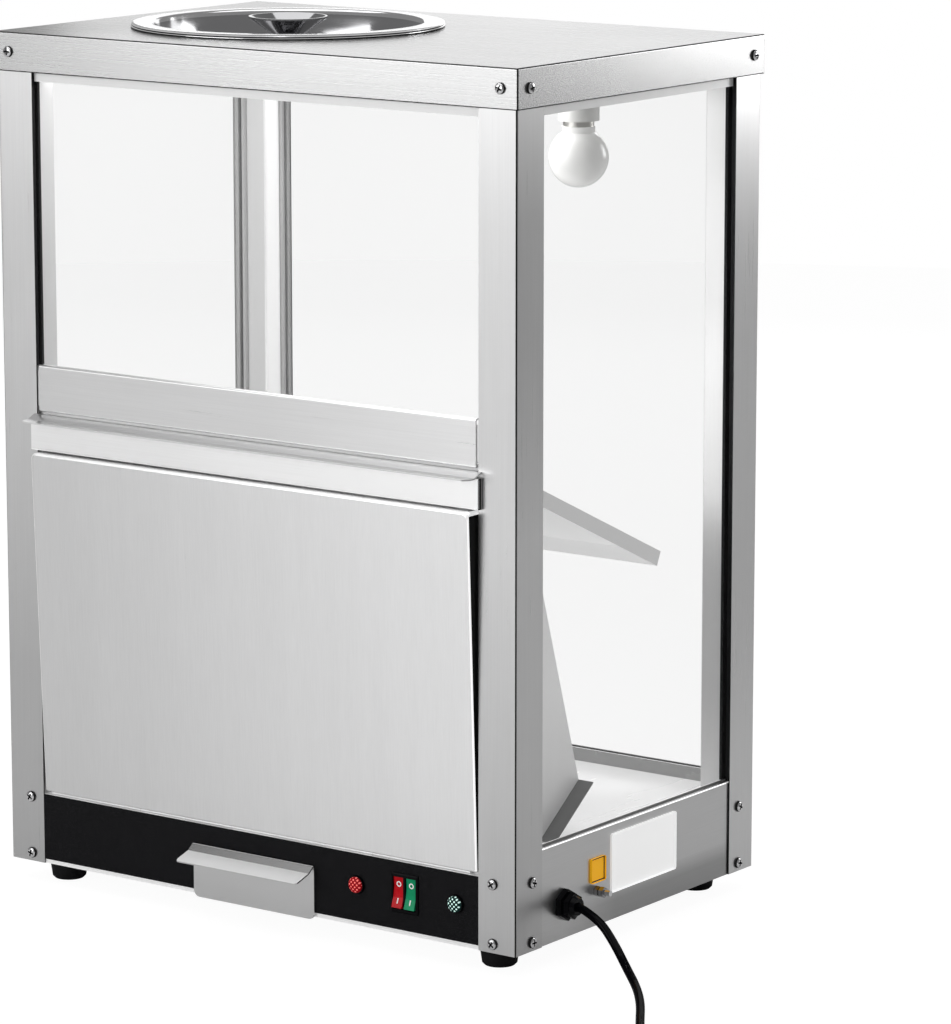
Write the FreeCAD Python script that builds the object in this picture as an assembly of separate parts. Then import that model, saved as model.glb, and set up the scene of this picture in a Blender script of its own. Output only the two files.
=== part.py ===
import FreeCAD, Part
import math
import os

# Chip warmer: a glazed shop cabinet on four feet. Chips go in through the lid, slide down a
# sloped baffle to the back, and come out of a bin in the front that tilts on a hinge.
# The cabinet's centre is x = 0, y = 0 while it is built; z = 0 is the floor, -Y is the front.

# Driving dimensions, mm
width = 552.0
depth = 362.0
body_height = 738.0
foot_height = 19.0
sheet = 1.2
thin_sheet = 1.0
bend = 0.6
play = 0.3
overrun = 5.0

# Corner posts and the folded angles behind them that seat the glass
post_leg = 38.0
seat_inner = 34.0
seat_return = 12.0
seat_end = 24.0

# Top cap
cap_overhang = 2.5
cap_skirt = 34.0
cap_edge_radius = 1.6
hole_radius = 122.2
hole_collar = 11.0
lid_x_share = -0.178

# Glass and its seals
glass = 4.0
glass_inset = 5.0
glass_side_cover = 28.0
glass_top_cover = 8.0
seal_start = 26.0
seal_end = 37.0
seal_inner = 11.8
channel_drop = 8.0
channel_wall = 1.0

# Base rails, deck and base pan
rail_height = 84.0
rail_hem = 2.8
deck_height = 72.0
upstand = 12.0
pan_edge = 10.0
front_rail_flange = 19.0
panel_sheet = 1.2
sill = 4.0
slot_length = 34.0
slot_width = 5.0
slot_pitch = 13.0
slot_columns = 3
slot_rows = 9
slot_column_gap = 6.0

# Cross rail between the front posts
cross_low = 408.0
cross_high = 449.0
cross_gap = 2.8
cross_flange = 14.0
cross_lip = 20.0
cross_tab = 15.0
tab_margin = 5.0

# Sloped baffle
baffle_front_drop = 3.0
baffle_run = 225.0
baffle_angle = 24.5
baffle_flange = 13.0
baffle_side_gap = 18.0
baffle_notch = 40.0
baffle_tongue = 22.0
seat_gap = 0.1

# Bin in the front: skin, strip, walls and floor
skin_gap = 1.8
skin_low = 67.2
skin_proud = 12.4
skin_top = 373.0
skin_corner = 2.4
skin_top_corner = 6.0
groove = 1.2
strip_proud = 5.0
strip_overlap = 3.0
lip_reach = 21.0
lip_slope_run = 10.0
lip_drop = 4.0
lip_top_gap = 2.4
lip_chamfer = 5.0
cheek_gap = 1.3
bin_floor_gap = 1.2
bin_flat = 90.0
bin_rise_run = 57.5
bin_rise = 42.0
bin_flange = 15.0
cheek_mid_y = 94.0
cheek_mid_z = 287.0
cheek_top_y = 68.0
cheek_top_z = 355.0
cheek_front_z = 390.0

# Bin hinge
knuckle_radius = 1.6
hinge_pin_radius = 0.8
hinge_fit = 0.05
hinge_front = 0.8
leaf = 1.0
leaf_width = 17.0
knuckle_count = 9
knuckle_gap = 0.4
hinge_end_gap = 9.0
hinge_clear = 0.4

# Crumb tray and its runners
tray_width = 118.0
tray_depth = 250.0
tray_height = 28.0
tray_low = 7.0
tray_plate_width = 132.0
tray_plate_height = 47.0
tray_plate_drop = 2.0
tray_lip_reach = 25.0
tray_lip_drop = 11.0
tray_lip_turn_reach = 7.0
tray_lip_turn_drop = 5.5
tray_corner = 6.0
tray_lip_corner = 5.0
tray_gap = 3.0
tray_standoff = 0.5
runner_ledge = 10.0
runner_height = 20.0
runner_play = 1.0

# Lamp
lamp_x_share = 0.382
holder_radius = 17.5
holder_base_radius = 25.0
holder_base = 10.0
holder_length = 61.0
holder_wall = 3.9
bulb_radius = 25.5
bulb_drop = 93.5
bulb_cap_radius = 13.2
bulb_cap_show = 4.8
bulb_cap_length = 27.0
bulb_neck_radius = 14.0

# Controls
control_height = 36.3
red_light_x_share = 0.2007
switch_x_share = 0.2935
green_light_x_share = 0.3888
light_radius = 8.2
lens_radius = 6.8
lens_rise = 4.2
lens_profile_shares = [(1.0, 0.45), (0.8, 0.8), (0.35, 0.97)]
light_rim = 2.2
light_barrel_radius = 6.0
light_barrel = 19.0
bezel_width = 28.0
bezel_height = 34.5
bezel_rise = 2.0
bezel_step = 1.0
housing_depth = 19.0
rocker_width = 10.4
rocker_height = 27.0
rocker_play = 0.3
rocker_tilt = 8.0
rocker_face = 3.4
rocker_edge = 5.2
rocker_back = 4.0
rocker_pivot = 2.6
trunnion_radius = 1.0
trunnion_length = 0.8
pocket_depth = 11.5

# Heater and electrics in the closed base
element_radius = 4.0
element_half = 95.0
element_front = 118.0
element_rear = 58.0
element_drop = 20.0
pin_radius = 1.5
pin_length = 16.0
strap_width = 12.0
strap_foot = 12.0
strap_margin = 4.0
thermostat_radius = 8.5
thermostat_height = 11.0
thermostat_ear = 26.0
thermostat_ear_width = 9.0
thermostat_x_share = 0.235
thermostat_y = -20.0
block_length = 48.0
block_width = 20.0
block_height = 17.0
block_x_share = 0.371
block_y = -60.0
block_groove = 3.0
block_ways = 4

# Cable gland and earth stud on the right rail
gland_y = -109.0
gland_z = 29.5
gland_flats = 24.0
gland_hex = 5.2
gland_thread_radius = 9.0
gland_inside = 12.0
gland_nut_flats = 20.0
gland_nut_length = 6.2
gland_nose_radius = 7.4
gland_nose = 3.9
locknut = 4.0
locknut_flats = 23.0
stud_y = -61.5
stud_z = 30.5
stud_radius = 2.5
stud_out = 15.0
stud_in = 9.0
stud_nut_flats = 8.0
stud_nut = 4.0

# Screws
screw_head_radius = 4.8
screw_head = 2.8
dome_shares = [(1.0, 0.0), (1.0, 0.3), (0.88, 0.68), (0.6, 0.92)]
screw_radius = 2.4
screw_length = 8.0
hole_play = 0.1
cap_screw_in = 17.0
cap_screw_down = 17.0
post_screw_in = 23.5
post_screw_low = 7.6
post_screw_high = 59.0

# Feet
foot_top_radius = 17.5
foot_low_radius = 15.0
foot_edge = 2.0
foot_inset_x = 39.0
foot_inset_y = 32.0
foot_bore = 5.6
foot_web = 6.0

# Lid and knob
rim_radius = 137.3
rim_rise = 4.2
rim_wall_radius = 118.6
dish_radius = 115.6
dish_depth = 22.0
lid_sheet = 1.0
lid_ease = 1.5
knob_rim_radius = 34.5
knob_throat_radius = 12.5
knob_rise = 9.0
knob_cone = 17.0
knob_stem_radius = 9.0
knob_wall = 1.6
knob_hollow = 3.0

# Mains cord and plug; the route's points are places on the floor and above it
cord_radius = 3.7
cord_sides = 12
cord_gap = 0.6
cord_route = [
    (311.0, -111.0, 42.5), (331.0, -116.0, 25.0), (351.0, -127.0, 9.5),
    (377.0, -151.0, 3.8), (406.0, -188.0, 3.8), (436.0, -234.0, 3.8), (469.0, -281.0, 3.8),
]
bend_share = 0.45
coil_start = (504.0, -322.0, 3.8)
coil_radii_in = 6
coil_radii_out = 5
coil_least_radius = 30.0
cord_tail = 44.0
plug_length = 30.0
plug_width = 26.0
plug_relief = 22.0
plug_relief_radius = 6.8
plug_edge = 4.0
blade_length = 17.0
blade_width = 6.3
blade_thick = 1.5
blade_spread = 12.7
earth_pin_radius = 2.4
earth_pin_length = 20.0
earth_pin_offset = 4.0

V = FreeCAD.Vector
X = V(1, 0, 0)
Y = V(0, 1, 0)
Z = V(0, 0, 1)

# Places worked out from the driving dimensions
base = foot_height
top = base + body_height
half_w = width / 2
half_d = depth / 2
front = -half_d
cap_under = top - sheet
opening = half_w - post_leg
rail_top = base + rail_height
deck_top = base + deck_height
rail_in = sheet + play
glass_in = glass_inset + glass
cross_base = base + cross_low
cross_top = base + cross_high
lid_x = lid_x_share * width
lamp_x = lamp_x_share * width
red_light_x = red_light_x_share * width
switch_x = switch_x_share * width
green_light_x = green_light_x_share * width
thermostat_x = thermostat_x_share * width
block_x = block_x_share * width
hinge_length = 2 * (opening - hinge_end_gap)
hinge_y = front + hinge_front + knuckle_radius
wall_y = hinge_y + knuckle_radius
skin_base = base + skin_low
hinge_z = skin_base - hinge_clear - knuckle_radius
front_rail_top = hinge_z - knuckle_radius - play
skin_high = base + skin_top
lip_z = cross_base - lip_top_gap
strip_y = front - strip_proud
floor_z = deck_top + bin_floor_gap
cheek_x = opening - cheek_gap
control_z = base + control_height
side_face = half_w - rail_in
panel_y = front + play
tray_z = base + tray_low
plate_back = panel_y - tray_standoff


def plain(v):
    return (v.x, v.y, v.z)


def solid_box(x0, x1, y0, y1, z0, z1):
    return Part.makeBox(x1 - x0, y1 - y0, z1 - z0, V(x0, y0, z0))


def plane_point(plane, u, v):
    return {"xy": V(u, v, 0), "yz": V(0, u, v), "xz": V(u, 0, v)}[plane]


def plane_normal(plane):
    return {"xy": Z, "yz": X, "xz": Y}[plane]


def prism(outline, plane, start, stop):
    """Solid of a polygon outline, drawn in a plane and pushed along the plane's normal."""
    corners = [plane_point(plane, u, v) for u, v in outline]
    face = Part.Face(Part.makePolygon(corners + corners[:1]))
    normal = plane_normal(plane)
    solid = face.extrude(normal * (stop - start))
    solid.translate(normal * start)
    return solid


def unit(a, b):
    length = math.hypot(b[0] - a[0], b[1] - a[1])
    return ((b[0] - a[0]) / length, (b[1] - a[1]) / length)


def shifted(path, distance):
    """The same open line moved sideways to its left, with mitred corners."""
    out = []
    for i, p in enumerate(path):
        before = unit(path[i - 1], p) if i else unit(p, path[i + 1])
        after = unit(p, path[i + 1]) if i < len(path) - 1 else before
        cos_turn = before[0] * after[0] + before[1] * after[1]
        k = distance / (1 + cos_turn)
        out.append((p[0] - (before[1] + after[1]) * k, p[1] + (before[0] + after[0]) * k))
    return out


def eased(path, cut):
    """The same open line with each of its corners cut off by a short straight."""
    out = [path[0]]
    for before, p, after in zip(path, path[1:], path[2:]):
        d0 = unit(before, p)
        d1 = unit(p, after)
        out.append((p[0] - d0[0] * cut, p[1] - d0[1] * cut))
        out.append((p[0] + d1[0] * cut, p[1] + d1[1] * cut))
    return out + [path[-1]]


def fold_face(path, thickness, plane, radius=bend):
    """Face of a folded sheet's section. The path is the sheet's outer face and the sheet lies to
    its left, or to its right where the thickness is negative. Bends have an inner radius."""
    mid = shifted(path, thickness / 2)
    half = abs(thickness) / 2
    bend_mid = radius + half
    sides = {1: [], -1: []}
    start = {1: None, -1: None}
    for i in range(len(mid)):
        p = mid[i]
        if i in (0, len(mid) - 1):
            d = unit(mid[0], mid[1]) if i == 0 else unit(mid[-2], mid[-1])
            for s in sides:
                q = plane_point(plane, p[0] - d[1] * half * s, p[1] + d[0] * half * s)
                if start[s] is not None:
                    sides[s].append(Part.LineSegment(start[s], q).toShape())
                start[s] = q
            continue
        d0 = unit(mid[i - 1], p)
        d1 = unit(p, mid[i + 1])
        cross = d0[0] * d1[1] - d0[1] * d1[0]
        turn = math.atan2(cross, d0[0] * d1[0] + d0[1] * d1[1])
        side = 1 if turn > 0 else -1
        cut = bend_mid * math.tan(abs(turn) / 2)
        centre = (p[0] - d0[0] * cut - d0[1] * bend_mid * side,
                  p[1] - d0[1] * cut + d0[0] * bend_mid * side)
        out = unit(centre, p)
        for s in sides:
            r = bend_mid - half * side * s
            a = plane_point(plane, centre[0] + d0[1] * side * r, centre[1] - d0[0] * side * r)
            m = plane_point(plane, centre[0] + out[0] * r, centre[1] + out[1] * r)
            b = plane_point(plane, centre[0] + d1[1] * side * r, centre[1] - d1[0] * side * r)
            sides[s].append(Part.LineSegment(start[s], a).toShape())
            sides[s].append(Part.Arc(a, m, b).toShape())
            start[s] = b
    first = [sides[s][0].Vertexes[0].Point for s in (1, -1)]
    caps = [Part.LineSegment(*first).toShape(), Part.LineSegment(start[1], start[-1]).toShape()]
    return Part.Face(Part.Wire(Part.__sortEdges__(sides[1] + sides[-1] + caps)))


def folded(path, thickness, plane, start, stop, radius=bend):
    """Folded sheet: its section pushed along the plane's normal."""
    normal = plane_normal(plane)
    solid = fold_face(path, thickness, plane, radius).extrude(normal * (stop - start))
    solid.translate(normal * start)
    return solid


def turned(face, place, axis=Z):
    """Solid turned from a face drawn in the plane of u = radius and v = height on the Z axis."""
    solid = face.revolve(V(0, 0, 0), Z, 360)
    solid.Placement = FreeCAD.Placement(V(*place), FreeCAD.Rotation(Z, axis))
    return solid


def turned_outline(outline, place, axis=Z):
    corners = [plane_point("xz", u, v) for u, v in outline]
    return turned(Part.Face(Part.makePolygon(corners + corners[:1])), place, axis)


def rod(radius, length, place, axis=Z):
    return Part.makeCylinder(radius, length, V(*place), axis)


def hexagon(flats, length, place, axis):
    corner = flats / 2 / math.cos(math.pi / 6)
    points = [V(corner * math.cos(k * math.pi / 3), corner * math.sin(k * math.pi / 3), 0)
              for k in range(6)]
    solid = Part.Face(Part.makePolygon(points + points[:1])).extrude(V(0, 0, length))
    solid.Placement = FreeCAD.Placement(V(*place), FreeCAD.Rotation(Z, axis))
    return solid


def joined(shapes):
    whole = shapes[0].multiFuse(shapes[1:]) if len(shapes) > 1 else shapes[0]
    return whole.removeSplitter()


def group(shapes):
    return Part.makeCompound(shapes)


def mirrored_x(shape):
    return shape.mirror(V(0, 0, 0), X)


def mirrored_y(shape):
    return shape.mirror(V(0, 0, 0), Y)


def four_ways(shape):
    """One copy of a front left piece at each corner, front left, front right, then the rear two."""
    right = mirrored_x(shape)
    return [shape, right, mirrored_y(shape), mirrored_y(right)]


def screw_places():
    """Each case screw's place on the face that it clamps, and the way its head points."""
    places = []
    for sx in (-1, 1):
        for sy in (-1, 1):
            cap_x = sx * (half_w + cap_overhang)
            cap_y = sy * (half_d + cap_overhang)
            z = top - cap_screw_down
            places.append((V(sx * (half_w + cap_overhang - cap_screw_in), cap_y, z), Y * sy))
            places.append((V(cap_x, sy * (half_d + cap_overhang - cap_screw_in), z), X * sx))
            for dz in (post_screw_low, post_screw_high):
                z = base + dz
                places.append((V(sx * (half_w - post_screw_in), sy * half_d, z), Y * sy))
                places.append((V(sx * half_w, sy * (half_d - post_screw_in), z), X * sx))
    return places


def foot_places():
    return [(sx * (half_w - foot_inset_x), sy * (half_d - foot_inset_y))
            for sx in (-1, 1) for sy in (-1, 1)]


def screw(place, out):
    """Pan head screw: a domed head outside the face and a plain shank behind it."""
    dome = [(screw_head_radius * r, screw_head * h) for r, h in dome_shares]
    outline = dome + [(0, screw_head), (0, -screw_length), (screw_radius, -screw_length),
                      (screw_radius, 0)]
    return turned_outline(outline, plain(place), out)


def case_screws():
    screws = [screw(place, out) for place, out in screw_places()]
    for x, y in foot_places():
        screws.append(screw(V(x, y, base - foot_web), -Z))
    return group(screws)


def screw_holes():
    """Clearance bores for every case screw, cut from all that a screw passes through."""
    bores = [rod(screw_radius + hole_play, 2 * screw_length, place + out * screw_length, -out)
             for place, out in screw_places()]
    bores += [rod(screw_radius + hole_play, screw_length + foot_web, (x, y, base - foot_web))
              for x, y in foot_places()]
    return group(bores)


def corner_posts():
    """Outer angle of each corner, from the base to the cap's top sheet."""
    path = [(-half_w, front + post_leg), (-half_w, front), (-half_w + post_leg, front)]
    post = folded(path, sheet, "xy", base, cap_under)
    return [p.cut(screw_holes()) for p in four_ways(post)]


def seat_angles():
    """Folded angle behind each post; its two returns are the back seats of the glass seals."""
    path = [
        (-half_w + seat_return, front + seat_end), (-half_w + seat_return, front + seat_inner),
        (-half_w + seat_inner, front + seat_inner), (-half_w + seat_inner, front + seat_return),
        (-half_w + seat_end, front + seat_return),
    ]
    return four_ways(folded(path, -sheet, "xy", base + sheet, cap_under))


def top_cap():
    """Shallow folded cover over the posts, with a drawn collar round the filling hole."""
    x = half_w + cap_overhang
    y = half_d + cap_overhang
    shell = solid_box(-x, x, -y, y, top - cap_skirt, top)
    rounded = [e for e in shell.Edges if e.BoundBox.ZMax > top - play]
    shell = shell.makeFillet(cap_edge_radius, rounded)
    inside = solid_box(-x + sheet, x - sheet, -y + sheet, y - sheet,
                       top - cap_skirt - overrun, cap_under)
    collar = rod(hole_radius + sheet, hole_collar, (lid_x, 0, top - hole_collar))
    hole = rod(hole_radius, cap_skirt, (lid_x, 0, top - cap_skirt / 2))
    return joined([shell.cut(inside), collar]).cut(hole).cut(screw_holes())


def glass_pane(half_span, low):
    """One upright pane whose outer face lies at the glass inset, drawn at the front."""
    y = front + glass_inset
    high = top - glass_top_cover
    return solid_box(-half_span, half_span, y, y + glass, low, high)


def glass_panes():
    x = half_w - glass_side_cover
    y = half_d - glass_side_cover
    low = deck_top + play
    left = solid_box(-half_w + glass_inset, -half_w + glass_in, -y, y, low, top - glass_top_cover)
    return {
        "front_glass": glass_pane(x, cross_base + sheet + play),
        "rear_glass": mirrored_y(glass_pane(x, low)),
        "left_glass": left,
        "right_glass": mirrored_x(left),
    }


def seal_length(low):
    """Rubber channel round an upright edge of the front pane, drawn at the left corner."""
    outer = solid_box(-half_w + seal_start, -half_w + seal_end, front + sheet, front + seal_inner,
                      low, cap_under - play)
    slot = solid_box(-half_w + glass_side_cover, -half_w + seal_end + overrun,
                     front + glass_inset, front + glass_in, low - overrun, top)
    return outer.cut(slot)


def side_seal_length(low):
    """Rubber channel round the front edge of the left pane."""
    outer = solid_box(-half_w + sheet, -half_w + seal_inner, front + seal_start, front + seal_end,
                      low, cap_under - play)
    slot = solid_box(-half_w + glass_inset, -half_w + glass_in,
                     front + glass_side_cover, front + seal_end + overrun, low - overrun, top)
    return outer.cut(slot)


def glass_seals():
    low = rail_top + play
    front_left = seal_length(cross_top - sheet)
    rear_left = mirrored_y(seal_length(low))
    long_seals = [rear_left, mirrored_x(rear_left)] + four_ways(side_seal_length(low))
    return group([front_left, mirrored_x(front_left)] + long_seals)


def glass_channels():
    """Channels under the cap that close over each pane's top edge."""
    outer = glass_inset - play - channel_wall
    inner = glass_in + play + channel_wall
    low = top - cap_skirt - channel_drop
    x = opening
    y = half_d - seal_end - thin_sheet
    path = [(front + outer, low), (front + outer, cap_under), (front + inner, cap_under),
            (front + inner, low)]
    fore = folded(path, -channel_wall, "yz", -x, x)
    path = [(-half_w + outer, low), (-half_w + outer, cap_under), (-half_w + inner, cap_under),
            (-half_w + inner, low)]
    side = folded(path, -channel_wall, "xz", -y, y)
    return group([fore, mirrored_y(fore), side, mirrored_x(side)])


def rail_section(edge, inward):
    """Section of a base rail: an upright sheet whose top is hemmed towards the glass."""
    out = edge + inward * rail_in
    return [(out, base), (out, rail_top), (out + inward * rail_hem, rail_top)]


def side_rail():
    y = half_d - rail_in
    rail = folded(rail_section(-half_w, 1), -sheet, "xz", -y, y)
    return rail.cut(screw_holes())


def rear_rail():
    x = half_w - rail_in - rail_hem - play
    rail = folded(rail_section(half_d, -1), sheet, "yz", -x, x)
    return rail.cut(screw_holes())


def gland_bores():
    """Holes in the right rail for the cable gland and the earth stud."""
    x = side_face - rail_in
    return group([rod(gland_thread_radius + hole_play, overrun, (x, gland_y, base + gland_z), X),
                  rod(stud_radius + hole_play, overrun, (x, stud_y, base + stud_z), X)])


def panel_cutouts():
    """Openings that the front rail and the control panel share."""
    y0 = front - overrun
    y1 = front + front_rail_flange
    tray_half = tray_width / 2 + tray_gap
    step = bezel_step + play
    cuts = [
        solid_box(-tray_half, tray_half, y0, y1, tray_z - thin_sheet,
                  tray_z + tray_height + tray_gap),
        solid_box(switch_x - bezel_width / 2 + step - play, switch_x + bezel_width / 2 - step + play,
                  y0, y1, control_z - bezel_height / 2 + step - play,
                  control_z + bezel_height / 2 - step + play),
    ]
    for x in (red_light_x, green_light_x):
        cuts.append(rod(light_barrel_radius + hole_play, y1 - y0, (x, y0, control_z), Y))
    return group(cuts)


def front_rail():
    x = half_w - rail_in - sheet - play
    face = solid_box(-x, x, front + rail_in, front + rail_in + sheet, base, front_rail_top)
    flange = solid_box(-opening, opening, front + rail_in, front + rail_in + front_rail_flange,
                       front_rail_top - sheet, front_rail_top)
    return joined([face, flange]).cut(panel_cutouts()).cut(screw_holes())


def control_panel():
    x = opening - play
    panel = solid_box(-x, x, panel_y, panel_y + panel_sheet, base + sill, front_rail_top - play)
    return panel.cut(panel_cutouts())


def base_pan():
    """Shallow pan that closes the base, with its rim inside the rails."""
    x = half_w - rail_in - sheet - play
    y = half_d - rail_in - sheet - play
    outer = solid_box(-x, x, -y, y, base, base + pan_edge)
    inner = solid_box(-x + sheet, x - sheet, -y + sheet, y - sheet, base + sheet,
                      base + pan_edge + overrun)
    corners = four_ways(solid_box(-half_w, -half_w + seat_inner + play, front,
                                  front + seat_inner + play, base + sheet, top))
    reach = tray_width / 2 + runner_play + runner_ledge + play
    tray_way = solid_box(-reach, reach, front, front + rail_hem + pan_edge, base + sheet, top)
    pan = outer.cut(inner)
    return pan.cut(group(corners + [tray_way])).cut(screw_holes()).removeSplitter()


def crumb_slots():
    """Rows of slots through the deck, over the crumb tray."""
    span_x = slot_columns * slot_length + (slot_columns - 1) * slot_column_gap
    slots = []
    for column in range(slot_columns):
        x0 = -span_x / 2 + column * (slot_length + slot_column_gap)
        for row in range(slot_rows):
            y = (row - (slot_rows - 1) / 2) * slot_pitch
            r = slot_width / 2
            body = solid_box(x0 + r, x0 + slot_length - r, y - r, y + r,
                             deck_top - sheet - overrun, deck_top + overrun)
            ends = [rod(r, sheet + 2 * overrun, (x, y, deck_top - sheet - overrun))
                    for x in (x0 + r, x0 + slot_length - r)]
            slots.append(body.multiFuse(ends))
    return group(slots)


def deck_plate():
    """Polished floor of the cabinet with upstands in front of the glass on three sides."""
    x = half_w - rail_in - sheet - play
    y = half_d - rail_in - sheet - play
    front_edge = wall_y + sheet + 2 * bin_floor_gap
    plate = solid_box(-x, x, front_edge, y, deck_top - sheet, deck_top)
    apron = solid_box(-opening, opening, front_edge, front_edge + sheet,
                      front_rail_top + leaf + play, deck_top)
    skirts = [solid_box(-x, -x + sheet, front_edge, y, deck_top - pan_edge, deck_top),
              solid_box(x - sheet, x, front_edge, y, deck_top - pan_edge, deck_top),
              solid_box(-x, x, y - sheet, y, deck_top - pan_edge, deck_top)]
    rise = deck_top + upstand
    inner = glass_in + play + channel_wall
    ux = half_w - inner
    uy = half_d - inner
    uy_front = front + post_leg
    upstands = [
        solid_box(-ux, -ux + sheet, uy_front, uy, deck_top - sheet, rise),
        solid_box(ux - sheet, ux, uy_front, uy, deck_top - sheet, rise),
        solid_box(-ux, ux, uy - sheet, uy, deck_top - sheet, rise),
    ]
    corners = four_ways(solid_box(-half_w, -half_w + seat_inner + thin_sheet, front,
                                  front + seat_inner + thin_sheet, base, top))
    return joined([plate, apron] + skirts + upstands).cut(group(corners)).cut(crumb_slots())


def cross_rail():
    """Rail under the front glass: a folded channel that the pane stands in, on two side tabs."""
    x = opening - cross_gap
    path = [(front + cross_flange, cross_base + cross_lip), (front + cross_flange, cross_base),
            (front, cross_base), (front, cross_top), (front + glass_inset - play, cross_top)]
    channel = folded(path, -sheet, "yz", -x, x)
    tabs = solid_box(-opening - cross_tab, opening + cross_tab, front + sheet, front + 2 * sheet,
                     cross_base + tab_margin, cross_top - tab_margin)
    return joined([channel, tabs])


def baffle():
    """Sloped plate from the cross rail to the back, with its sides and its rear edge turned down
    square and a front tongue that lies against the cross rail's rear lip."""
    slope = math.radians(baffle_angle)
    y0 = front + cross_flange + seat_gap
    z0 = cross_base - baffle_front_drop
    y1 = y0 + baffle_run
    z1 = z0 - baffle_run * math.tan(slope)
    wide = half_w - baffle_side_gap
    thick = sheet / math.cos(slope)
    drop = baffle_flange / math.cos(slope)
    down = (-baffle_flange * math.sin(slope), -baffle_flange * math.cos(slope))
    along = (sheet * math.cos(slope), -sheet * math.sin(slope))
    under = (-sheet * math.sin(slope), -sheet * math.cos(slope))
    plate = prism([(y0, z0), (y1, z1), (y1 + under[0], z1 + under[1]), (y0, z0 - thick)], "yz",
                  -wide, wide)
    flange = prism([(y0, z0), (y1, z1), (y1 + down[0], z1 + down[1]), (y0, z0 - drop)], "yz",
                   -wide, -wide + sheet)
    rear = prism([(y1, z1), (y1 + down[0], z1 + down[1]),
                  (y1 + down[0] - along[0], z1 + down[1] - along[1]),
                  (y1 - along[0], z1 - along[1])], "yz", -wide, wide)
    notch = solid_box(-half_w, -half_w + baffle_notch, front, front + baffle_notch, base, top)
    plate = joined([plate, rear, flange, mirrored_x(flange)])
    plate = plate.cut(group([notch, mirrored_x(notch)]))
    reach = half_w - baffle_notch
    tongue = solid_box(-reach, reach, y0, y0 + sheet, z0 - thick, z0 + baffle_tongue)
    return joined([plate, tongue])


def bin_skin():
    """Outer face of the bin: a wedge shaped pan, flush at the hinge and proud at the top."""
    x = opening - skin_gap

    def wedge(inset, back):
        body = prism([(back, skin_base + inset), (front + inset, skin_base + inset),
                      (front - skin_proud + inset, skin_high - inset), (back, skin_high - inset)],
                     "yz", -x + inset, x - inset)
        corners = [e for e in body.Edges
                   if e.BoundBox.XLength < play and e.BoundBox.ZMin > skin_high - inset - play]
        body = body.makeFillet(skin_top_corner - inset, corners)
        face_edges = [e for e in body.Edges if e.BoundBox.YMax < front + inset + play
                      and e.BoundBox.ZMax > skin_base + skin_corner]
        return body.makeFillet(skin_corner - inset, face_edges)

    hinge_leaf = solid_box(-hinge_length / 2 - play, hinge_length / 2 + play,
                           wall_y - leaf, wall_y + overrun, base, hinge_z + leaf_width + play)
    return wedge(0, wall_y).cut(wedge(sheet, wall_y + overrun)).cut(hinge_leaf)


def bin_strip():
    """Channel above the skin, closed at its ends; it overlaps both posts and stops the bin."""
    x = opening + strip_overlap
    low = skin_high + groove
    high = lip_z - sheet - lip_drop
    path = [(wall_y, low), (strip_y, low), (strip_y, high), (wall_y, high)]
    channel = folded(path, -thin_sheet, "yz", -x, x)
    end = solid_box(-x, -x + thin_sheet, strip_y + bend + thin_sheet, front - play, low, high)
    behind = solid_box(cheek_x, x + overrun, front - play, front + post_leg, base, top)
    return joined([channel, end, mirrored_x(end)]).cut(group([behind, mirrored_x(behind)]))


def bin_front_wall():
    """Inner wall of the bin, folded forward over the strip into the pull lip at its top."""
    x = cheek_x - sheet
    lip_x = opening + strip_overlap
    path = [(wall_y + sheet, floor_z + sheet), (wall_y + sheet, lip_z), (front, lip_z),
            (front - lip_slope_run, lip_z - lip_drop), (front - lip_reach, lip_z - lip_drop)]
    whole = folded(path, sheet, "yz", -lip_x, lip_x)
    behind = solid_box(x, lip_x + overrun, front - play, front + post_leg, base, top)
    corner = prism([(lip_x, front - lip_reach), (lip_x - lip_chamfer, front - lip_reach),
                    (lip_x, front - lip_reach + lip_chamfer)], "xy", base, top)
    return whole.cut(group([behind, mirrored_x(behind), corner, mirrored_x(corner)]))


def bin_floor():
    """Floor of the bin, flat over the deck and then sloped up to the back, where it is wider
    than the bin; these flanges meet the posts when the bin is fully open."""
    y0 = wall_y + sheet
    y1 = front + bin_flat
    y2 = y1 + bin_rise_run
    path = [(y0, floor_z + sheet), (y1, floor_z + sheet), (y2, floor_z + sheet + bin_rise)]
    wide = cheek_x + bin_flange
    whole = folded(path, -sheet, "yz", -wide, wide)
    trim = solid_box(cheek_x, wide + overrun, front, y1, base, top)
    return whole.cut(group([trim, mirrored_x(trim)]))


def bin_cheek():
    """Left side wall of the bin, with its raked rear edge."""
    z0 = floor_z + sheet
    y1 = front + bin_flat
    outline = [
        (wall_y, z0), (y1, z0), (y1 + bin_rise_run, z0 + bin_rise),
        (front + cheek_mid_y, base + cheek_mid_z), (front + cheek_top_y, base + cheek_top_z),
        (wall_y, base + cheek_front_z),
    ]
    return prism(outline, "yz", -cheek_x, -cheek_x + sheet)


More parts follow.
